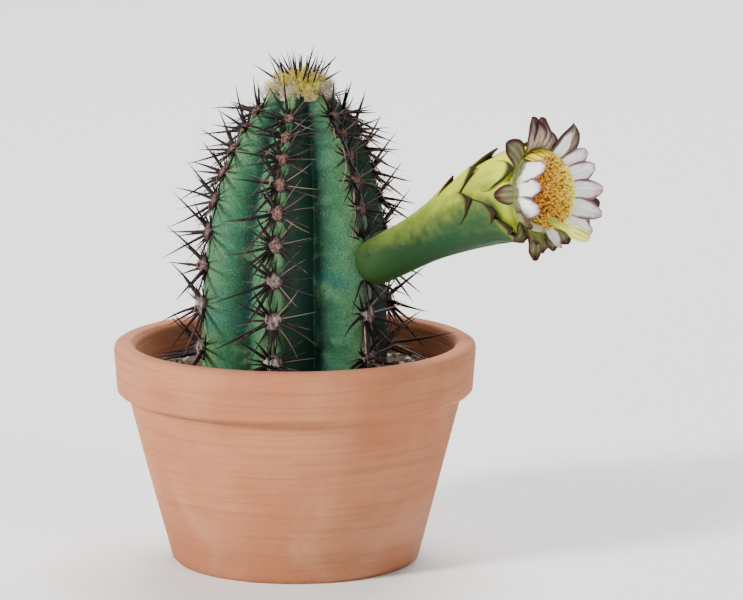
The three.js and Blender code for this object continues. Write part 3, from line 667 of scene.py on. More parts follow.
def inner_material(flower):
    """Inner tepals: white, mauve to the tips, with dark edges, grey-violet veins and a green base, and a
    faint glow in their own colour that is painted light.
    """
    paint = Paint("inner_tepal")
    along, across, tone, vein = paint.values("along", "across", "tone", "vein")
    mottle = paint.noise(1.5, 3, 0.6)
    flush = (along + across * 0.4 * along + (mottle - 0.5) * 0.5 + tone * 0.25 - 0.6).between(0.25, 0.8)
    hem = ((across * along.between(0.1, 0.6)) ** 3 + mottle * 0.3 - 0.15).between(0.12, 0.6)
    colour = paint.layers(
        flower.white,
        vein=((vein * 0.7 + mottle * 0.5 - 0.2).clamped() * 0.5, (0.42, 0.35, 0.45)),
        flush=(flush * 0.7, flower.mauve),
        hem=(hem * 0.9, (0.28, 0.07, 0.13)),
        tip=(along.between(0.86, 1.0) * 0.75, (0.2, 0.06, 0.09)),
        outline=(across.between(0.74, 0.92) * along.between(0.1, 0.4) * 0.8, (0.07, 0.02, 0.045)),
        green_base=((1 - along).between(0.72, 1.0) * 0.85, (0.36, 0.35, 0.1)),
    )
    # Painted light: the tepals glow faintly in their own colour, though they are no lamp.
    painted_glow = {"Emission_Color": colour, "Emission_Strength": 0.12}
    flesh = {"Subsurface_Weight": 0.4, "Subsurface_Scale": 0.001, "Subsurface_Radius": (1, 1, 1)}
    return paint.finish(colour, 0.48, Normal=paint.bump(vein + mottle * 0.3, 0.06), **flesh, **painted_glow)


def stamen_material(flower):
    """Stamens: yellow filaments with some brown ones, and orange anthers, paler towards the far rim, partly
    their own colour and partly painted light.
    """
    paint = Paint("stamens")
    anther, edge, tone, far = paint.values("anther", "edge", "tone", "far")
    strand = paint.mix(tone.between(0.68, 0.8), (0.93, 0.74, 0.05), (0.17, 0.11, 0.015))
    pollen = paint.layers(
        flower.orange,
        # Partly painted light: anthers towards the far rim are painted yellower and paler.
        light=((far * 1.5 + tone * 0.5 - 0.65).clamped(), (1.0, 0.72, 0.09)),
        rim=((edge * far).between(0.42, 0.75) * 0.9, (1.0, 0.88, 0.14)),
        brown=((tone - far * 0.3).between(0.58, 0.8) * 0.75, (0.24, 0.075, 0.018)),
        gold=((1 - tone).between(0.72, 0.85) * 0.5, (0.98, 0.74, 0.14)),
    )
    colour = paint.mix(anther.between(0.4, 0.6), strand, pollen)
    normal = paint.bump(paint.noise(0.3, 2, 0.7), 0.06)
    return paint.finish(colour, 0.8, Normal=normal, Specular_IOR_Level=0.1)


def pistil_material(flower):
    """Pistil: pale yellow style, greener low down, and a creamy club with darker seams between its lobes."""
    paint = Paint("pistil")
    along, seam = paint.values("along", "seam")
    colour = paint.layers(
        (0.3, 0.36, 0.04),
        style=(along.between(0.2, 0.95), flower.style),
        club=(along.between(0.7, 0.85) * 0.75, (0.88, 0.83, 0.17)),
        seam=(seam * 0.85, (0.16, 0.19, 0.012)),
    )
    return paint.finish(colour, 0.45, Normal=paint.bump(paint.noise(0.6), 0.06))


def clay_material(pot):
    """Fired clay: warm orange in paler clouds, with turning lines, dark flecks, a whitish bloom of minerals
    that is strongest at the foot, and damp darkening below."""
    paint = Paint("fired_clay")
    (height,) = paint.values("height")
    cloud = paint.noise(26, 3, 0.55, warp=0.4)
    fleck = paint.noise(0.7, 2, 0.6)
    lines = paint.noise(1.3, 2, 0.5, scale=(0.03, 0.03, 1))
    bloom = (cloud + fleck * 0.35 + (1 - height) * 0.3 - 0.6).between(0.3, 0.7)
    colour = paint.layers(
        pot.clay,
        cloud=(cloud.between(0.3, 0.7), (0.46, 0.185, 0.085)),
        turning_line=(lines.between(0.42, 0.7) * 0.35, (0.29, 0.09, 0.035)),
        damp=((1 - height).between(0.55, 1.0) * 0.3, (0.22, 0.08, 0.035)),
        bloom=(bloom * 0.22, (0.62, 0.48, 0.38)),
        fleck=(fleck.between(0.62, 0.75) * 0.45, (0.16, 0.06, 0.03)),
    )
    normal = paint.bump(lines * 0.8 + fleck * 0.6, 0.25)
    return paint.finish(colour, paint.noise(4) * 0.15 + 0.75, Normal=normal)


def soil_material(pot):
    """Potting soil: dark brown crumbs, with lighter dry grains."""
    paint = Paint("potting_soil")
    crumb, fine = paint.noise(2.2, 4, 0.7), paint.noise(0.6, 3, 0.7)
    colour = paint.layers(
        pot.soil,
        crumb=(crumb.between(0.35, 0.7), (0.14, 0.085, 0.05)),
        dry_grain=(fine.between(0.6, 0.75) * 0.6, (0.28, 0.2, 0.13)),
    )
    return paint.finish(colour, 0.95, Normal=paint.bump(crumb + fine * 0.5, 0.7))


def grit_material():
    """Grit: each stone its own tone between dark brown bark, grey-brown stone and pale pumice."""
    paint = Paint("soil_grit")
    bark, wood = (0.03, 0.018, 0.012), (0.1, 0.06, 0.035)
    stone, pumice = (0.24, 0.19, 0.14), (0.62, 0.57, 0.5)
    stops = [(0.0, bark), (0.4, wood), (0.72, stone), (0.95, pumice)]
    (tone,) = paint.values("tone")
    speck = paint.noise(0.5, 2, 0.7)
    colour = paint.layers(
        paint.add("ShaderNodeValToRGB", {"stops": stops}, {0: tone}),
        speck=(speck.between(0.4, 0.7) * 0.4, (0.08, 0.05, 0.03)),
    )
    return paint.finish(colour, 0.9, Normal=paint.bump(speck, 0.12))


# Shape of the stem


class Stem:
    """The stem's own formula, from its settings."""

    def __init__(self, scene):
        settings = scene.cactus_stem
        self.height = settings.height / MM
        self.widest = settings.radius / MM
        self.depth = settings.depth
        self.lean = settings.lean / MM

    def crest_radius(self, z):
        """A taper that ends in a dome: R (1 - (z/H)^3.2)^0.65, and below the soil R (1 - (z/20)^3)^0.5."""
        above = self.widest * (1 - np.clip(z / self.height, 0, 1) ** 3.2) ** 0.65
        below = self.widest * (1 - np.clip(-z / STEM_ROOTED, 0, 1) ** 3) ** 0.5
        return np.where(z >= 0, above, below)

    def radius(self, across, z):
        """From the crest the radius falls off as depth x |across|^1.55. across is -1 to 1 over a rib."""
        return self.crest_radius(z) * (1 - self.depth * np.abs(across) ** RIB_ROUNDNESS)

    def axis(self, z):
        """The axis leans to +X by the square of the height."""
        return vectors(self.lean * np.maximum(z / self.height, 0) ** 2, 0, z)

    def point(self, rib, across, z, proud=0.0):
        """A point of the skin, across its rib at a height, moved out by proud."""
        way = bearing(FIRST_RIB + RIB_TURN * (rib + across / 2))
        return self.axis(z) + way * (self.radius(across, z) + proud)[..., None]

    def crest_frame(self, rib, z):
        """On a crest: the point, and the ways out of the skin, up along it and to the right as seen."""
        along = unit(self.point(rib, 0.0, z + 0.5) - self.point(rib, 0.0, z - 0.5))
        side = unit(np.cross([0.0, 0, 1], bearing(FIRST_RIB + RIB_TURN * rib)))
        return self.point(rib, 0.0, z), unit(np.cross(side, along)), along, side


def areole_places(stem, spines):
    """The rib of every areole, its order on the rib and its height. Each spacing is a fixed share of the one
    below, measured along the slope of the crest."""
    rows = []
    for rib in range(RIBS):
        z = spines.lowest / MM + 2 * (float(draw(rib, 3)) - 0.5)
        step = spines.spacing / MM
        for order in range(spines.areoles):
            if z < stem.height - 5.5:
                rows.append((rib, order, z))
            slope = abs(float(stem.crest_radius(np.array(z + 1.0)) - stem.crest_radius(np.array(z))))
            z += step / math.hypot(1, slope)
            step *= spines.shrink
    return np.array(rows, float).T


def pad_radius(spines, young):
    """The felt pads shrink evenly from the soil, where young is 0, to the tip, where it is 1."""
    return mixed(spines.pad, spines.pad_top, young) / MM


def pad_points(pads, right, up, out):
    """Points of each pad: its place plus its three ways by their lengths. pads is what crest_frame gives."""
    each = (len(right),) + (1,) * (right.ndim - 1) + (3,)
    at, normal, along, side = (ways.reshape(each) for ways in pads)
    return at + side * right[..., None] + along * up[..., None] + normal * out[..., None]


# Shape of the flower


def rising(degrees):
    """A direction in the flower's upright plane, degrees above level."""
    return np.array([math.cos(math.radians(degrees)), 0, math.sin(math.radians(degrees))])


class Flower:
    """The flower's centre line, its radius and its places in the plant."""

    def __init__(self, scene):
        settings = scene.cactus_flower
        self.foot, self.mouth = settings.tube / MM, settings.mouth / MM
        at, normal, _, _ = Stem(scene).crest_frame(np.array(float(FLOWER_RIB)), np.array(FLOWER_HEIGHT))
        self.start = at + normal * (self.foot - FLOWER_SUNK)
        turn = math.radians(FLOWER_TURN - 90)
        cosine, sine = math.cos(turn), math.sin(turn)
        self.turned = np.array([[cosine, -sine, 0], [sine, cosine, 0], [0, 0, 1]])
        end = rising(CHORD_RISE) * TUBE_CHORD
        leaving, arriving = rising(START_RISE) * TUBE_CHORD * 0.4, rising(MOUTH_RISE) * TUBE_CHORD * 0.26
        knots = [np.zeros(3), leaving, end - arriving, end]
        t = np.linspace(0, 1, 401)[:, None]
        weights = [(1 - t) ** 3, 3 * t * (1 - t) ** 2, 3 * t * t * (1 - t), t**3]
        self.line = sum(weight * knot for weight, knot in zip(weights, knots))
        steps = np.linalg.norm(np.diff(self.line, axis=0), axis=1)
        self.length = steps.sum()
        self.share = np.concatenate([[0], np.cumsum(steps)]) / self.length

    def on_line(self, u):
        """The point at a share u of the centre line, a shallow cubic arch."""
        return np.stack([np.interp(u, self.share, self.line[:, k]) for k in range(3)], -1)

    def centre(self, u):
        """The point at a share u of the centre line, which runs straight on past either end."""
        inside = np.clip(u, 0, 1)
        return self.on_line(inside) + (u - inside)[..., None] * self.length * self.tangent(inside)

    def tangent(self, u):
        """The centre line's direction."""
        u = np.clip(u, 0.004, 0.996)
        return unit(self.on_line(u + 0.004) - self.on_line(u - 0.004))

    def radius(self, u):
        """Slender for the first fifth, then a funnel: a smooth step from the foot's radius to the mouth's."""
        return mixed(self.foot, self.mouth, smoothstep(u, 0.22, 1.03))

    def skin(self, u, angle, lift=0.0):
        """A point of the tube at a share u of its length and an angle round it in degrees, lifted off it."""
        tangent = self.tangent(u)
        side = np.broadcast_to([0.0, 1, 0], tangent.shape)
        over = unit(np.cross(tangent, side))
        angle = np.radians(angle)[..., None]
        out = side * np.cos(angle) + over * np.sin(angle)
        return self.centre(u) + out * (self.radius(u) + lift)[..., None]

    def to_plant(self, points):
        """From the flower's frame to the plant's."""
        return points @ self.turned.T + self.start

    def from_mouth(self, points):
        """From the mouth's frame, +X to the far side, +Y up and +Z out, to the plant's."""
        out = self.tangent(np.array(1.0))
        side = np.array([0.0, 1, 0])
        basis = np.stack([side, np.cross(out, side), out])
        return self.to_plant(points @ basis + self.centre(np.array(1.0)))

    def clear_of(self, points):
        """How far points of the plant are from the tube's skin."""
        local = (points - self.start) @ self.turned
        u = np.linspace(0, 1, 25)
        far = np.linalg.norm(local[..., None, :] - self.centre(u), axis=-1) - self.radius(u)
        return far.min(-1)


def tepals(whorl, start, thick, base, point, shape):
    """Tepals as closed blades, in the mouth's frame. Each row of whorl is the angle round the mouth, length,
    width, first and last heading and radius at the foot. A midline turns outwards from its first heading to
    its last, so it is an arc of a circle. The blade widens from its base by a smooth step, narrows to its tip
    by (1 - s^point)^0.65, cups towards the axis at its edges and is thickest in the middle. shape adds a lift
    for its waves and ribs."""
    angle, length, width, first, last, radius = (copies(column) for column in np.array(whorl, float).T)
    bend, turn, leaving = np.radians(last - first), np.radians(angle), np.radians(first)

    def place(share, across, face):
        heading = leaving + bend * share
        r = radius + length / bend * (np.cos(leaving) - np.cos(heading))
        z = start + length / bend * (np.sin(heading) - np.sin(leaving))
        narrow = (1 - np.clip(share, 0, 1) ** point) ** 0.65
        half = width / 2 * (base + (1 - base) * smoothstep(share, 0, 0.55)) * narrow
        lift = face * thick / 2 * np.sqrt(np.maximum(1 - across**4, 0)) * (1 - 0.45 * share)
        cup = 0.16 * width * (across * narrow) ** 2 * share
        off = lift * narrow**0.5 - cup + shape(share, across * narrow, angle)
        outwards, sideways = r + off * np.cos(heading), half * across
        x = np.cos(turn) * outwards - np.sin(turn) * sideways
        y = np.sin(turn) * outwards + np.cos(turn) * sideways
        return vectors(x, y, z - off * np.sin(heading))

    return closed_blade(place, 30, 17)


def add_collar(surface, flower, inner, outer, height):
    """A short ring round the mouth: a rounded rectangle turned about the axis, as a fat torus."""
    section = turns(16)[:, None]
    square = np.sign(np.cos(section)) * np.abs(np.cos(section)) ** 0.4
    upright = np.sign(np.sin(section)) * np.abs(np.sin(section)) ** 0.4
    r = (inner + outer) / 2 + (outer - inner) / 2 * square
    z = 0.3 + (height - 0.3) * (0.5 + 0.5 * upright)
    surface.hoop(flower.from_mouth(circle(turns(64), r, z)))


# Makers

FLOOR_REACH = 3.0
SKY_LIGHT = 0.24
CAMERA_TARGET = (0.0215, 0, 0.0735)
LAMP_TARGET = (0.01, 0, 0.09)
# Name, place and width in metres, power in watts, colour
LAMPS = [
    ("key", (-2.1, -1.56, 1.4), 0.6, 150.0, (1, 0.985, 0.95)),
    ("top", (0.3, 1.5, 2.6), 2.2, 150.0, (1, 1, 1)),
    ("fill", (1.6, -1.9, 1.0), 1.2, 26.0, (0.96, 0.98, 1)),
]


class CACTUS_OT_stage(bpy.types.Operator):
    """Adds the pale floor, the soft lights and the camera."""

    bl_idname = "cactus.stage"
    bl_label = "Stage"

    def execute(self, context):
        settings = context.scene.cactus_stage
        corners = [(x * FLOOR_REACH, y * FLOOR_REACH, 0) for x, y in ((-1, -1), (1, -1), (1, 1), (-1, 1))]
        mesh = bpy.data.meshes.new("floor")
        mesh.from_pydata(corners, [], [range(4)])
        paint = Paint("pale_floor")
        tint = paint.mix(paint.noise(90) * 0.2, settings.floor, (0.88, 0.88, 0.87))
        mesh.materials.append(paint.finish(tint, 0.9))
        floor = bpy.data.objects.new("floor", mesh)
        context.collection.objects.link(floor)

        world = bpy.data.worlds.new("soft_studio")
        world.use_nodes = True
        sky = world.node_tree.nodes["Background"].inputs
        sky["Color"].default_value = (1, 1, 1, 1)
        sky["Strength"].default_value = SKY_LIGHT
        context.scene.world = world
        for name, place, size, power, colour in LAMPS:
            lamp = bpy.data.lights.new(name, "AREA")
            lamp.size, lamp.energy, lamp.color = size, power, colour
            light = bpy.data.objects.new(name, lamp)
            light.location = place
            x, y, z = np.subtract(LAMP_TARGET, place)
            light.rotation_euler = (math.atan2(math.hypot(x, y), -z), 0, math.atan2(y, x) - math.pi / 2)
            context.collection.objects.link(light)

        camera = bpy.data.objects.new("camera", bpy.data.cameras.new("camera"))
        camera.data.lens = settings.lens
        camera.data.sensor_width = 36
        rise = settings.elevation
        back = np.array([0, -math.cos(rise), math.sin(rise)])
        camera.location = CAMERA_TARGET + back * settings.distance
        camera.rotation_euler = (math.pi / 2 - rise, 0, 0)
        camera.data.clip_start, camera.data.clip_end = 0.05, 20
        context.collection.objects.link(camera)
        context.scene.camera = camera
        return {"FINISHED"}


def pot_profile(height, top, foot, wall, rim):
    """The pot's outline from the middle of its underside, up outside, over the rim and down inside to the
    middle of the floor: straight lines between its corners, in steps of about 1.1 mm."""
    under = height - rim
    outside = [[1.0, 0], [foot - 1.2, 0], [foot, 1.2], [top - 4, under - 0.2], [top - 3.4, under - 0.1]]
    band = [[top - 1.8, under], [top - 1, under + 0.9], [top - 0.1, height - 1.9], [top - 0.4, height - 0.7]]
    lip = [[top - 1.5, height], [top - wall - 0.1, height], [top - wall - 1, height - 1]]
    inside = [[foot - wall + 0.8, POT_FLOOR + 1.5], [foot - wall - 1.5, POT_FLOOR], [1.0, POT_FLOOR]]
    corners = np.array(outside + band + lip + inside)
    gaps = np.linalg.norm(np.diff(corners, axis=0), axis=1)
    counts = np.maximum((gaps / 1.1).astype(int), 3)
    runs = [mixed(a, b, np.arange(n)[:, None] / n) for a, b, n in zip(corners, corners[1:], counts)]
    return np.concatenate(runs + [corners[-1:]])


class CACTUS_OT_pot(bpy.types.Operator):
    """Makes the clay pot: a turned profile with a banded rim and three drainage holes."""

    bl_idname = "cactus.pot"
    bl_label = "Clay Pot"

    def execute(self, context):
        pot = context.scene.cactus_pot
        height = pot.height / MM
        profile = pot_profile(height, *(size / MM for size in (pot.top, pot.foot, pot.wall, pot.rim)))
        turn = turns(160)
        r, z = profile[:, :1], profile[:, 1:]
        ring = circle(turn, r, z)
        hand = ripple(ring, 45, 3) * 0.12 + np.sin(z * 2.6 + ripple(ring, 60, 4)) * 0.035
        between = smoothstep(z, 1.0, 4.0) * (1 - smoothstep(z, height - 1.2, height))
        ring[..., :2] *= (1 + hand * between / np.maximum(r, 20))[..., None]
        body = Surface()
        body.tubes(ring, (0, 0, 0), (0, 0, POT_FLOOR), height=np.clip(z / height, 0, 1))
        piece = body.made("clay_pot", clay_material(pot), height=0)
        drill = Surface()
        for k in range(DRAIN_HOLES):
            place = bearing(360 / DRAIN_HOLES * k) * DRAIN_CIRCLE
            low, high = place - (0, 0, 3), place + (0, 0, POT_FLOOR + 3)
            wall = circle(turn[::4], DRAIN_RADIUS, 0)
            drill.tubes(np.stack([wall + low, wall + high]), low, high)
        cutter = drill.made("drill", piece.data.materials[0], height=0)
        cut = piece.modifiers.new("drainage", "BOOLEAN")
        cut.operation, cut.solver, cut.object = "DIFFERENCE", "EXACT", cutter
        context.view_layer.update()
        done = bpy.data.meshes.new_from_object(piece.evaluated_get(context.evaluated_depsgraph_get()))
        piece.modifiers.clear()
        piece.data = done
        bpy.data.objects.remove(cutter)
        settle(piece, "pot")
        return {"FINISHED"}


def soil_height(r, turn):
    """The soil's surface: highest in the middle, with low lumps of two crossed waves."""
    lumps = np.sin(r * 0.9 + 2 * np.sin(turn * 3)) * np.cos(turn * 7 + r * 0.5)
    return SOIL_RISE * (1 - r / SOIL_EDGE) + SOIL_LUMP * lumps


def grit(stem, count):
    """Stones strewn by the golden turn outside the stem: rough barrels of four rows of seven points, each
    point at its own drawn distance."""
    item = np.arange(count)
    away = SOIL_EDGE * np.sqrt(draw(item, 81) * 0.97 + 0.01)
    turn = GOLDEN_TURN * item + draw(item, 82)
    across = ((np.degrees(turn) + 90 - FIRST_RIB) % RIB_TURN) / (RIB_TURN / 2)
    across = np.where(across > 1, across - 2, across)
    free = away > stem.radius(across, 0.0) + CLEARANCE
    item, away, turn = item[free], away[free], turn[free]
    size = 0.35 + 1.0 * draw(item, 83) ** 2.6
    place = circle(turn, away, soil_height(away, turn) - 0.15 + size * 0.15)
    rows, columns = 4, 7
    lift = np.linspace(-0.8, 0.8, rows)[None, :, None]
    spin = turns(columns) + copies(draw(item, 84)) * 6
    knob = np.arange(rows * columns).reshape(1, rows, -1) + copies(item) * 29
    wide = copies(size) * np.sqrt(1 - lift**2) * (0.75 + 0.45 * draw(knob, 85))
    slim = 0.55 + 0.45 * copies(draw(item, 86))
    tall = copies(size * (0.5 + 0.35 * draw(item, 87)))
    stone = vectors(np.cos(spin) * wide, np.sin(spin) * wide * slim, lift * tall)
    stones = Surface()
    low, high = place - vectors(0, 0, size * 0.5), place + vectors(0, 0, size * 0.55)
    stones.tubes(stone + place[:, None, None], low, high, tone=copies(draw(item, 88)))
    return stones


class CACTUS_OT_soil(bpy.types.Operator):
    """Fills the pot with soil and strews grit over it."""

    bl_idname = "cactus.soil"
    bl_label = "Soil"

    def execute(self, context):
        pot = context.scene.cactus_pot
        turn = turns(150)
        r = SOIL_EDGE * np.concatenate([np.linspace(1, 0.96, 4), np.linspace(0.94, 0.06, 46)])[:, None]
        top = circle(turn, r, soil_height(r, turn))
        top[..., 2] += ripple(top, 5, 7) * 0.22 + ripple(top, 2.2, 8) * 0.14 - 0.3
        below = np.array([-SOIL_DEPTH, -30, -15, -2])[:, None]
        deep = SOIL_TOP - POT_FLOOR
        sides = circle(turn, mixed(POT_INSIDE_FOOT, POT_INSIDE_TOP, (below + deep) / deep) - 0.3, below)
        filling = Surface()
        filling.tubes(np.concatenate([sides, top]), (0, 0, -SOIL_DEPTH), (0, 0, 1))
        settle(filling.made("potting_soil", soil_material(pot)), "soil")
        stones = grit(Stem(context.scene), pot.stones)
        settle(stones.made("soil_grit", grit_material(), smooth=False), "soil")
        return {"FINISHED"}


class CACTUS_OT_stem(bpy.types.Operator):
    """Makes the ribbed skin of the stem: crests that rise in a knob under each felt pad, fine ripples, and
    grooves with a rounded bottom."""

    bl_idname = "cactus.stem"
    bl_label = "Ribbed Stem"

    def execute(self, context):
        stem = Stem(context.scene)
        per_rib = 40
        column = np.arange(RIBS * per_rib)
        rib, across = column // per_rib, 2 * (column % per_rib) / per_rib - 1
        rising_rows = stem.height * (1 - (1 - np.arange(170) / 170) ** 1.35)
        z = np.concatenate([[-19.2, -17, -13, -7, -3], rising_rows])[:, None]
        near = np.zeros((len(z), len(column)))
        for pad_rib, _, height in zip(*areole_places(stem, context.scene.cactus_spines)):
            near = np.maximum(near, bell(z - height, 3.1) * (rib == pad_rib))
        base = stem.point(rib, across, z)
        crest = 1 - np.abs(across) ** 1.2
        proud = 0.75 * near * bell(across, 0.2) - 0.28 * bell(across, 0.28)
        proud += ripple(base, 17, 12) * 0.26 * (1 - crest * 0.4) + ripple(base, 6, 13) * 0.06
        proud += 0.1 * np.sin(z * 1.9 + 3 * ripple(base, 22, 14)) * (1 - crest)
        proud += 0.5 * bell(1 - np.abs(across), 0.07)
        fade = smoothstep(z, -2, 4) * (1 - smoothstep(z, stem.height - 8, stem.height - 1))
        points = stem.point(rib, across, z, proud * fade)
        # Painted shade: each flank's facing is held against the key lamp's bearing, and flanks turned away
        # from the lamp get a share of shade, less on those turned furthest away.
        facing = FIRST_RIB + RIB_TURN * rib + 62 * np.tanh(across * 7)
        away = -np.cos(np.radians(facing - KEY_LAMP_SIDE))
        shade = smoothstep(away, -0.04, 0.24) * (1 - 0.5 * smoothstep(away, 0.3, 0.8))
        skin = Surface()
        low, high = stem.axis(np.array(-STEM_ROOTED)), stem.axis(np.array(stem.height))
        skin.tubes(points, low, high, crest=crest, height=np.clip(z / stem.height, 0, 1), shade=shade)
        settle(skin.made("ribbed_stem", skin_material(context.scene.cactus_stem)), "stem")
        return {"FINISHED"}


class CACTUS_OT_felt(bpy.types.Operator):
    """Makes the felt pads along the crests, each a dome with short hairs."""

    bl_idname = "cactus.felt"
    bl_label = "Felt Pads"

    def execute(self, context):
        stem, spines = Stem(context.scene), context.scene.cactus_spines
        rib, _, z = areole_places(stem, spines)
        pads = stem.crest_frame(rib, z)
        young = z / stem.height
        radius = pad_radius(spines, young)
        keep = Flower(context.scene).clear_of(pads[0]) > radius * 0.6
        pads, radius, old = [ways[keep] for ways in pads], radius[keep], 1 - young[keep]
        number = len(radius)
        felt = Surface()
        angle = turns(20)
        polar = np.radians(np.linspace(118, 8, 10))[None, :, None]
        wobble = 1 + 0.12 * np.sin(angle * 3 + copies(range(number))) * np.sin(polar)
        wide = np.sin(polar) * copies(radius) * wobble
        out = np.cos(polar) * copies(radius) * 0.5
        rings = pad_points(pads, np.cos(angle) * wide, np.sin(angle) * wide * 1.12, out)
        at, normal = pads[:2]
        low, high = at - normal * radius[:, None] * 0.4, at + normal * radius[:, None] * 0.5
        felt.tubes(rings, low, high, age=copies(old), edge=np.sin(polar))

        which = np.repeat(np.arange(number), FELT_HAIRS)
        item = np.arange(len(which))
        share = np.sqrt(draw(item, 91))
        x, y = np.cos(item * GOLDEN_TURN) * share, np.sin(item * GOLDEN_TURN) * share * 1.1
        pads, radius = [ways[which] for ways in pads], radius[which]
        wide = radius * 0.95
        root = pad_points(pads, x * wide, y * wide, radius * 0.42 * np.sqrt(1 - share**2 * 0.9))
        way = unit(pad_points(pads, x, y, 1.1 - share) - pads[0] + 0.45 * jitter(item, 92))
        length = radius * (0.25 + 0.3 * draw(item, 95))
        values = {"age": copies(old[which]), "edge": copies(share)}
        add_hairs(felt, root - way * 0.1, way, length, 0.045, 0.16, 4, **values)
        settle(felt.made("areole_felt", felt_material(spines)), "stem")
        return {"FINISHED"}


# Kinds of spine: pale bristles, radials, stout centrals and worn ones that hang down the rib, their paleness
# partly painted highlight
BRISTLE, RADIAL, CENTRAL, WORN = -1, 0, 1, 2
SPINE_RADII = [0.14, 0.34, 0.56, 0.38]
# Angle round the pad (0 up the rib, 90 to its left), tilt away from the way out, share of full length, kind
SPINE_PLAN = np.array(
    [
        [28, 48, 0.82, CENTRAL], [178, 58, 1.0, CENTRAL], [118, 60, 0.98, CENTRAL], [-128, 64, 0.86, CENTRAL],
        [-62, 74, 1.05, RADIAL], [66, 70, 0.8, RADIAL], [-20, 66, 0.7, RADIAL], [150, 72, 1.15, RADIAL],
        [-158, 74, 0.95, RADIAL], [92, 80, 0.7, RADIAL], [-96, 80, 0.75, RADIAL], [50, 60, 0.72, CENTRAL],
        [140, 52, 0.8, CENTRAL], [205, 66, 1.1, RADIAL], [8, 60, 0.6, RADIAL], [-75, 72, 1.3, BRISTLE],
        [-102, 76, 1.35, BRISTLE], [-45, 72, 1.2, BRISTLE], [-140, 70, 1.2, BRISTLE], [100, 66, 0.9, BRISTLE],
        [183, 79, 1.5, WORN],
    ]
)


class CACTUS_OT_spines(bpy.types.Operator):
    """Makes the spines: long centrals and shorter radials on every areole. A low one is raised over the soil
    and the rim in small steps, and one that would meet the flower is left out."""

    bl_idname = "cactus.spines"
    bl_label = "Spines"

    def execute(self, context):
        stem, spines = Stem(context.scene), context.scene.cactus_spines
        rib, order, z = (np.repeat(column, len(SPINE_PLAN)) for column in areole_places(stem, spines))
        k = np.tile(np.arange(len(SPINE_PLAN)), len(rib) // len(SPINE_PLAN))
        angle, tilt, share, kind = SPINE_PLAN[k].T
        item = rib * 211 + order * 17 + k
        young = z / stem.height
        angle = np.radians(mixed(angle, angle * 0.55, young * 0.55) + (draw(item, 1) - 0.5) * 26)
        tilt = np.radians(tilt + (draw(item, 2) - 0.5) * 18)
        full = np.where(kind == CENTRAL, spines.central, spines.radial) / MM
        length = full * share * (0.85 + 0.3 * draw(item, 4)) * mixed(1, 0.72, young)
        at, normal, along, side = stem.crest_frame(rib, z)
        around = along * np.cos(angle)[:, None] - side * np.sin(angle)[:, None]
        way = unit(normal * np.cos(tilt)[:, None] + around * np.sin(tilt)[:, None])
        spread = pad_radius(spines, young) * np.where(kind > RADIAL, 0.25, 0.55)
        root = at + around * spread[:, None] - normal * 0.4
        for _ in range(LIFT_ROUNDS):
            reach = rays(root, way, length, [0.7, 0.85, 1])
            over_rim = np.hypot(reach[..., 0], reach[..., 1]) > RIM_REACH
            low = (reach[..., 2] < np.where(over_rim, RIM_ABOVE_SOIL, SOIL_RISE) + CLEARANCE).any(1)
            way[low, 2] += 0.12
            way = unit(way)
        reach = rays(root, way, length, [0.25, 0.5, 0.75, 1])
        keep = Flower(context.scene).clear_of(reach).min(1) >= CLEARANCE
        # Painted light: spines on ribs that face away from the key lamp are painted paler, as if lit in the
        # shade they stand in.
        away_from_lamp = smoothstep(-np.cos(np.radians(FIRST_RIB + RIB_TURN * rib - KEY_LAMP_SIDE)), 0.5, 0.95)
        item, young, kind, length, root, way, away_from_lamp = (
            column[keep] for column in (item, young, kind, length, root, way, away_from_lamp)
        )
        thick = np.choose((kind - BRISTLE).astype(int), SPINE_RADII) * mixed(1, 0.8, young)
        aside = unit(np.cross(way, jitter(item, 5) + (0, 0, 0.3)))
        bow = aside * (length * 0.1 * (draw(item, 8) - 0.5))[:, None]
        tone = draw(item, 9) * 0.75 + 0.6 * (kind == BRISTLE) + 0.65 * (kind == WORN) + 0.35 * away_from_lamp
        surface = Surface()
        add_spines(surface, root, way, length, thick, bow, 1.4, 0.35, tone)
        settle(surface.made("spines", spine_material(spines)), "stem")
        return {"FINISHED"}


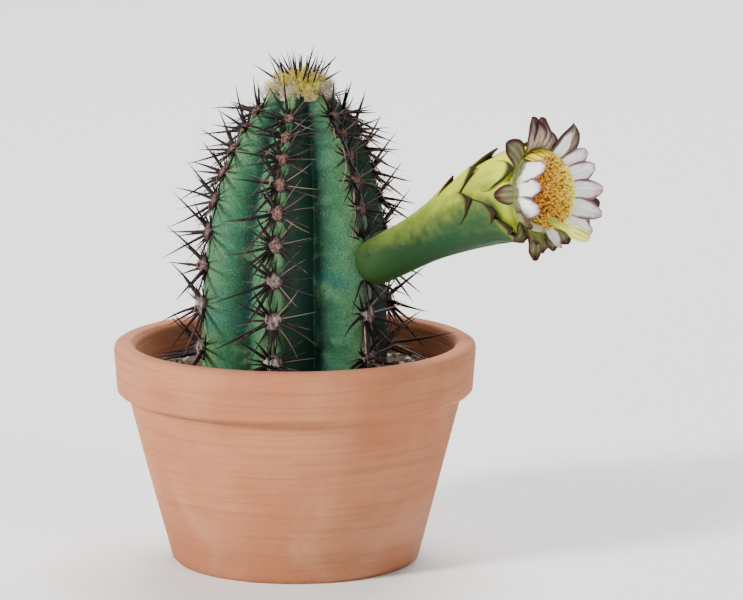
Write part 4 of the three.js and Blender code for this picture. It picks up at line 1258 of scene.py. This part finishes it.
class CACTUS_OT_crown(bpy.types.Operator):
    """Makes the woolly cap over the growing tip, its curled hairs in tufts and its young spines."""

    bl_idname = "cactus.crown"
    bl_label = "Woolly Crown"

    def execute(self, context):
        crown, stem = context.scene.cactus_crown, Stem(context.scene)
        radius, height = crown.radius / MM, crown.height / MM
        lean = stem.axis(np.array(stem.height))[0]
        foot = np.array([lean, 0, stem.height - 5])
        wool = Surface()
        turn, lift = turns(72), np.linspace(0, 0.985, 26)[:, None]
        out = (radius - 1.6) * (1 - lift**2) ** 0.6 * (1 + 0.05 * np.sin(turn * 5))
        cap = foot + circle(turn, out, (height - 1.4) * lift - 0.6)
        swell = ripple(cap, 3.1, 21) * 0.5 + ripple(cap, 1.3, 22) * 0.25
        cap = cap + unit(cap - foot) * swell[..., None]
        top = smoothstep(cap[..., 2] - foot[2], 2, height - 1)
        wool.tubes(cap, foot - (0, 0, 1), foot + (0, 0, height - 2), top=top, tone=0.25)

        knot = np.arange(WOOL_TUFTS)
        share = (knot + 0.5) / WOOL_TUFTS
        tilt = np.radians(86) * share**0.6
        way = circle(knot * GOLDEN_TURN, np.sin(tilt), np.cos(tilt))
        reach = (radius - 1.2) * np.sin(tilt) ** 2 + (height - 1.6) * np.cos(tilt) ** 2
        base = foot + way * reach[:, None]
        which = np.repeat(knot, crown.hairs // WOOL_TUFTS)
        item = np.arange(len(which))
        scatter = jitter(item, 101)
        lean = vectors(draw(knot, 104) - 0.5, draw(knot, 105) - 0.5, 0.7 * draw(knot, 106))
        hair_way = unit(way[which] + lean[which] * 0.8 + scatter * 1.1)
        length = (1.4 + 1.6 * draw(knot, 107))[which] * (0.6 + 0.7 * draw(item, 108))
        gold = smoothstep(draw(knot, 109) + 0.75 * (1 - share) - 0.35, 0.25, 0.5)[which]
        values = {"top": copies(gold), "tone": copies(draw(item, 110))}
        add_hairs(wool, base[which] + scatter * 2.6, hair_way, length, 0.085, 0.3, 7, **values)
        settle(wool.made("crown_wool_hairs", wool_material(crown)), "crown_wool")

        k = np.arange(crown.spines + THIN_SPINES)
        stout = k < crown.spines
        share = np.where(stout, (k + 0.5) / crown.spines * 0.9, 0.1 + 0.8 * draw(k, 110))
        tilt = np.radians(78 * np.sqrt(share))[:, None]
        turn = (k + 500) * 137.5 + np.where(stout, 0, 40)
        way = unit(bearing(turn) * np.sin(tilt) + (0, 0, 1) * np.cos(tilt))
        reach = radius * np.sin(tilt) ** 2 + height * 0.62 * np.cos(tilt) ** 2
        root = foot + (0, 0, height * 0.35) + way * (reach - 1.8)
        way = unit(way + (0, 0, 1) * np.where(stout, 0.25, 1.6)[:, None])
        length = (5.5 + 3 * draw(k, 8) + 1.8) * np.where(stout, 1, 0.75)
        young = Surface()
        add_spines(young, root, way, length, np.where(stout, 0.38, 0.26), 0 * way, 1.5, 0, draw(k, 111) * 0.6)
        settle(young.made("crown_spines", bpy.data.materials["spine_horn"]), "crown_wool")
        return {"FINISHED"}


# Angle round the tube, share of its length that the tip reaches, length and width in millimetres
SCALES = [
    (107, 0.63, 13, 9), (132, 0.82, 17, 13.5), (172, 0.8, 18, 11.5), (98, 0.87, 20, 11),
    (194, 0.93, 18, 11.5), (217, 0.99, 20, 11.5), (147, 1.04, 16, 10.5), (240, 1, 18, 11.5),
    (20, 0.66, 16, 9), (325, 0.74, 18, 10), (275, 0.84, 18, 11), (55, 0.84, 17, 11),
    (0, 0.92, 18, 11.5), (300, 1, 18, 11.5), (28, 1.02, 16, 11.5), (75, 1.03, 14, 11),
]
TINY_SCALES = [(165, 0.05, 2.4, 1.8), (60, 0.16, 2.6, 2)]
UNDERSIDE = 285


def uppermost(angle):
    """1 along the tube's upper side and 0 along its lower one, as a cosine between."""
    return 0.5 + 0.5 * np.sin(np.radians(angle + 18))


def tube_body(flower):
    """The tube's rings, from its rounded knob to its mouth, and how far each point stands on a scale's back:
    a ridge that rises before the scale and dies away under its tip."""
    angle = turns(96) * 180 / np.pi
    u = np.concatenate([np.full(9, -1.0), np.linspace(0, 1, 110)])[:, None] + 0 * angle
    ridge = np.zeros_like(u)
    for place, tip, length, width in SCALES:
        reach = length / flower.length
        apart = np.radians((angle - place + 180) % 360 - 180)
        beside = np.exp(-((apart * flower.radius(u) / (width * 0.34)) ** 4))
        rise, fall = smoothstep(u, tip - 3 * reach, tip - reach * 0.9), smoothstep(u, tip - 0.6 * reach, tip)
        ridge = np.maximum(ridge, beside * rise * (1 - fall))
    points = flower.skin(u, angle, ridge * 0.75 - 1.3 * smoothstep(u, 0.965, 1.0) ** 2)
    back = np.sin(np.radians(np.linspace(8, 82, 9)))[:, None]
    knob = flower.skin(0 * u[:9], angle, flower.foot * (back - 1))
    points[:9] = knob - flower.tangent(np.array(0.0)) * (flower.foot * np.sqrt(1 - back**2))[..., None]
    return points + ripple(points, 9, 31)[..., None] * 0.05, u, angle, ridge


def add_scales(surface, flower):
    """Fleshy scales as closed blades on the tube. A blade widens by a smooth step, narrows to its tip by
    (1 - s^2.3)^0.9, rises off the tube as s^1.25, less under it, and has a keel and a frilled edge."""
    angle, tip, length, width = (copies(column) for column in zip(*SCALES, *TINY_SCALES))
    reach = length / flower.length
    size = np.minimum(length / 12, 1)
    hug = 1 - 0.7 * smoothstep(np.cos(np.radians(angle - UNDERSIDE)), 0.7, 0.95)

    def on_tube(share, across):
        u = tip - reach * (1 - share)
        narrow = (1 - np.clip(share, 0, 1) ** 2.3) ** 0.9
        half = width / 2 * (0.5 + 0.5 * smoothstep(share, 0, 0.55)) * narrow
        return u, narrow, angle + np.degrees(half * across / flower.radius(np.minimum(u, 1)))

    def place(share, across, face):
        u, narrow, turned = on_tube(share, across)
        raised = mixed(-0.15, 1.75 * hug, np.maximum(share, 0) ** 1.25) * size
        thick = mixed(0.75, 0.45, smoothstep(share, 0.3, 1)) * size
        keel = 0.45 * bell(across, 0.22) * (1 - share) * size
        under = mixed(-0.5, raised - thick * 0.6, smoothstep(share, 0.55, 0.95))
        swell = np.where(face > 0, raised + thick / 2 * np.sqrt(1 - across**4) + 0.06 + keel, under)
        frill = 0.25 * np.sin(share * 9 + angle) * across * share * size
        edge = swell - 0.3 * (across * narrow) ** 2 * share * size + frill * narrow
        return flower.skin(u + 0 * across, turned, edge)

    ends, share, across, face = closed_blade(place, 24, 15)
    u, _, turned = on_tube(share, across)
    margin = np.abs(across) ** 8 * smoothstep(share, 0.35, 0.7)
    surface.tubes(
        *map(flower.to_plant, ends),
        along=np.clip(u, 0, 1), up=uppermost(turned), rim=(1 - face) / 2,
        tip=np.maximum(margin, smoothstep(share + 0.12 * across**2, 0.72, 1.02)) * size,
        streak=0.25 - 0.25 * np.cos(across * 9),
    )


class CACTUS_OT_tube(bpy.types.Operator):
    """Makes the flower's tube, from its rounded knob to its mouth, and its fleshy scales."""

    bl_idname = "cactus.tube"
    bl_label = "Flower Tube"

    def execute(self, context):
        flower = Flower(context.scene)
        points, u, angle, ridge = tube_body(flower)
        foot, mouth = np.array(0.0), np.array(1.0)
        ends = (points, flower.centre(foot) - flower.tangent(foot) * flower.foot, flower.centre(mouth))
        groove = (1 - ridge) * smoothstep(u, 0.15, 0.5)
        surface = Surface()
        surface.tubes(*map(flower.to_plant, ends), along=np.clip(u, 0, 1), up=uppermost(angle), streak=groove)
        add_scales(surface, flower)
        material = tube_material(context.scene.cactus_flower)
        settle(surface.made("flower_tube_and_scales", material), "flower_tube")
        return {"FINISHED"}


# Angle round the mouth (0 far side, 90 top), length, width, first and last heading, radius at the foot
OUTER_WHORL = [
    (99, 9.8, 9.5, 35, 118, 11.5), (88, 9, 8.5, 35, 116, 11.6), (68, 6.5, 6.5, 50, 106, 11.5),
    (49, 12.3, 7.5, 41, 98, 11.6), (26, 8.5, 6.5, 35, 90, 11.5), (5, 8.5, 6.5, 35, 95, 11.6),
    (343, 10, 6.5, 30, 88, 11.5), (322, 10, 6.5, 35, 92, 11.6), (295, 5.5, 6.5, 35, 92, 11.5),
    (277, 5, 6, 45, 105, 11.6), (258, 4.8, 6.5, 55, 110, 11.5), (243, 8, 7.5, 55, 100, 11.6),
    (232, 6.5, 6.5, 35, 70, 11.5), (222, 6, 5.5, 60, 115, 11.6), (213, 4.8, 6.5, 10, 40, 11.5),
    (176, 6.4, 6, 60, 165, 11.5), (128, 7, 8.5, 62, 135, 11.5),
]
INNER_WHORL = [
    (59, 10.2, 5, 25, 92, 9.3), (33, 9.8, 6.4, 25, 88, 9.6), (16, 10.6, 6.6, 25, 88, 9.3),
    (355, 11.4, 6.4, 22, 82, 9.6), (333, 11.8, 6.2, 22, 84, 9.3), (314, 10.4, 6, 22, 84, 9.6),
    (277, 6.8, 5.2, 50, 84, 9.4), (197, 7.4, 6.8, 8, 26, 10.1), (169, 8.8, 6.2, 6, 22, 10.1),
    (143, 9.6, 7, 6, 24, 10.1),
]


class CACTUS_OT_outer_tepals(bpy.types.Operator):
    """Makes the whorl of olive and brown tepals. Each waves at its edges and curls its tip its own way."""

    bl_idname = "cactus.outer_tepals"
    bl_label = "Outer Tepals"

    def execute(self, context):
        def shape(share, across, angle):
            wave = 0.55 * np.sin(share * 7 + angle) * across * share
            tip = np.sin(angle * 1.7) * 1.1 * smoothstep(share, 0.7, 1) ** 2
            return wave + tip + 0.3 * bell(across, 0.2)

        flower = Flower(context.scene)
        ends, share, across, face = tepals(OUTER_WHORL, 0.9, 0.7, 0.8, 3.0, shape)
        angle = np.array(OUTER_WHORL)[:, 0]
        surface = Surface()
        surface.tubes(
            *map(flower.from_mouth, ends),
            along=share, across=np.abs(across), tone=copies(draw(np.arange(len(angle)), 28)),
            vein=0.5 + 0.5 * np.cos(across * 10), inside=(1 - face) / 2,
            striped=copies(smoothstep(np.sin(np.radians(angle + 15)), 0.86, 0.94)),
        )
        add_collar(surface, flower, 11.15, 12.1, 1.2)
        settle(surface.made("outer_tepal_whorl", outer_material()), "outer_tepals")
        return {"FINISHED"}


class CACTUS_OT_inner_tepals(bpy.types.Operator):
    """Makes the whorl of white tepals, waved at the edges, folded and finely ribbed, with tips curled in."""

    bl_idname = "cactus.inner_tepals"
    bl_label = "Inner Tepals"

    def execute(self, context):
        def shape(share, across, angle):
            wave = 0.35 * np.sin(share * 8 + angle) * across * share
            fold = 0.3 * bell(across, 0.12) * share
            return wave + fold + 0.05 * np.cos(across * 15) - 1.2 * smoothstep(share, 0.72, 1) ** 2

        flower = Flower(context.scene)
        first_heading = np.array(INNER_WHORL)[:, 3]
        base = copies(np.where(first_heading < 20, 0.92, 0.62))
        ends, share, across, _ = tepals(INNER_WHORL, 1.2, 0.5, base, 4.0, shape)
        tone = copies(draw(np.arange(len(base)), 36))
        vein = smoothstep(np.cos(across * 15), 0.3, 1)
        surface = Surface()
        surface.tubes(*map(flower.from_mouth, ends), along=share, across=np.abs(across), tone=tone, vein=vein)
        add_collar(surface, flower, 8.5, 10.6, 1.3)
        material = inner_material(context.scene.cactus_flower)
        settle(surface.made("inner_tepal_whorl", material), "inner_tepals")
        return {"FINISHED"}


class CACTUS_OT_stamens(bpy.types.Operator):
    """Makes the fluted bundle of filaments, loose ones at its rim and upper edge, and the dish of anthers."""

    bl_idname = "cactus.stamens"
    bl_label = "Stamens"

    def execute(self, context):
        settings, flower = context.scene.cactus_flower, Flower(context.scene)
        head, disc = settings.head / MM, settings.disc / MM
        surface = Surface()

        def add(rings, low, high, **values):
            surface.tubes(*map(flower.from_mouth, (rings, low, high)), **values)

        def add_filaments(turn, out, rise, radius, edge, tone):
            line = circle(turn[:, None], out, rise)
            add(tube_rings(line, radius, 4), line[:, 0], line[:, -1], edge=edge, tone=tone)
            return line[:, -1]

        turn = turns(72)
        flute = 1 + 0.02 * np.sin(turn * 36)
        r = np.array([7.9, 7.9, 8.4, 9.0, 8.4, 4.5])[:, None]
        z = np.array([0.3, 2, 3.4, head - 1.2, head - 0.7, head - 1])[:, None]
        add(circle(turn, r * flute, z), np.array([0, 0, 0.3]), np.array([0, 0, head - 1.1]), tone=1.0)

        k = np.arange(settings.filaments)
        share = np.sqrt((k + 0.5) / len(k))
        turn = k * GOLDEN_TURN + 0.3 * draw(k, 45)
        tone, edge = copies(draw(k, 46)), copies(share)
        dish = head - 0.35 + 0.5 * share - 1.1 * smoothstep(share, 0.86, 1) + 0.9 * (draw(k, 41) - 0.4)
        t = np.linspace(0, 1, 6)
        out = ((disc - 0.1) * share)[:, None] * (0.82 + 0.18 * t**2)
        tips = add_filaments(turn, out, mixed(0.6, dish[:, None], t), 0.13, edge, tone * 0.5)

        fan = np.arange(FAN_STRANDS)
        around = np.radians(66 + 57 * (fan + 0.5 * draw(fan, 48)) / FAN_STRANDS)
        out = mixed(11.3, disc - 0.5, t**1.4) + 0.3 * (draw(fan, 49) - 0.5)[:, None]
        add_filaments(around, out, mixed(1.5, head - 0.05, t**0.8), 0.17, 1.0, copies(draw(fan, 50)))

        rim = np.arange(RIM_STRANDS)
        out = mixed(8.1, disc - 0.35, t**1.6) + 0.25 * (draw(rim, 47) - 0.5)[:, None]
        add_filaments(rim * GOLDEN_TURN, out, mixed(0.7, head - 0.3, t), 0.13, 1.0, 0.5)

        tilt = vectors(draw(k, 42) - 0.5, draw(k, 43) - 0.5, 1.1)
        way = unit(tilt + 0.5 * circle(turn, share, 0)) * 0.62
        s = np.linspace(-0.92, 0.92, 5)
        rings = tube_rings(tips[:, None] + way[:, None] * s[:, None], 0.35 * np.sqrt(1 - s**2), 6)
        # far runs to 1 on the far side of the dish, where the anthers are painted paler, partly as painted
        # light.
        far = copies(0.5 + 0.5 * share * np.cos(turn))
        add(rings, tips - way, tips + way, anther=1.0, edge=edge, tone=tone, far=far)
        settle(surface.made("stamen_head", stamen_material(settings)), "stamens")
        return {"FINISHED"}


class CACTUS_OT_pistil(bpy.types.Operator):
    """Makes the style, a cubic curve through four points, and its club of nine closed stigma lobes."""

    bl_idname = "cactus.pistil"
    bl_label = "Pistil"

    def execute(self, context):
        flower = Flower(context.scene)
        knots = np.array([[-2.9, -4, 2], [-3.9, -6.6, 5.8], [-2.2, -9.6, 10], [2.2, -12.9, 14]])
        t = np.linspace(0, 3, 61)
        line = np.stack([np.polyval(np.polyfit(np.arange(4), column, 3), t) for column in knots.T], -1)
        u = t[:, None] / 3
        closing = np.sqrt(np.maximum(1 - np.maximum((u - 0.84) / 0.17, 0) ** 2, 0.02))
        club = smoothstep(u, 0.68, 0.82) * closing
        lobe = np.abs(np.cos(turns(36) * 4.5))
        radius = (0.9 + club) * (1 + 0.09 * club * (lobe - 0.6))
        centres = line[None, :, None]
        rings = centres + (tube_rings(line[None], 1.0, 36) - centres) * radius[..., None]
        ends = (rings, line[0], line[-1] + unit(line[-1] - line[-2]) * 0.35)
        surface = Surface()
        surface.tubes(*map(flower.from_mouth, ends), along=u, seam=(1 - lobe) ** 3 * club)
        material = pistil_material(context.scene.cactus_flower)
        settle(surface.made("style_and_stigma", material), "pistil")
        return {"FINISHED"}


class CACTUS_PT_panel(bpy.types.Panel):
    """Lists the makers of the pieces."""

    bl_label = "Cactus"
    bl_idname = "CACTUS_PT_panel"
    bl_space_type = "VIEW_3D"
    bl_region_type = "UI"
    bl_category = "Cactus"

    def draw(self, context):
        for maker in MAKERS:
            self.layout.operator(maker.bl_idname)


MAKERS = (
    CACTUS_OT_stage,
    CACTUS_OT_pot,
    CACTUS_OT_soil,
    CACTUS_OT_stem,
    CACTUS_OT_felt,
    CACTUS_OT_spines,
    CACTUS_OT_crown,
    CACTUS_OT_tube,
    CACTUS_OT_outer_tepals,
    CACTUS_OT_inner_tepals,
    CACTUS_OT_stamens,
    CACTUS_OT_pistil,
)
GROUPS = {
    "cactus_stem": StemSettings,
    "cactus_spines": SpineSettings,
    "cactus_crown": CrownSettings,
    "cactus_flower": FlowerSettings,
    "cactus_pot": PotSettings,
    "cactus_stage": StageSettings,
}


def register():
    """Registers the settings, the makers and the panel."""
    for cls in (*GROUPS.values(), *MAKERS, CACTUS_PT_panel):
        bpy.utils.register_class(cls)
    for name, group in GROUPS.items():
        setattr(bpy.types.Scene, name, PointerProperty(type=group))


def unregister():
    """Removes what register added."""
    for name in GROUPS:
        delattr(bpy.types.Scene, name)
    for cls in (CACTUS_PT_panel, *reversed(MAKERS), *GROUPS.values()):
        bpy.utils.unregister_class(cls)


def main():
    register()
    for maker in MAKERS:
        group, name = maker.bl_idname.split(".")
        getattr(getattr(bpy.ops, group), name)()


if __name__ == "__main__":
    main()
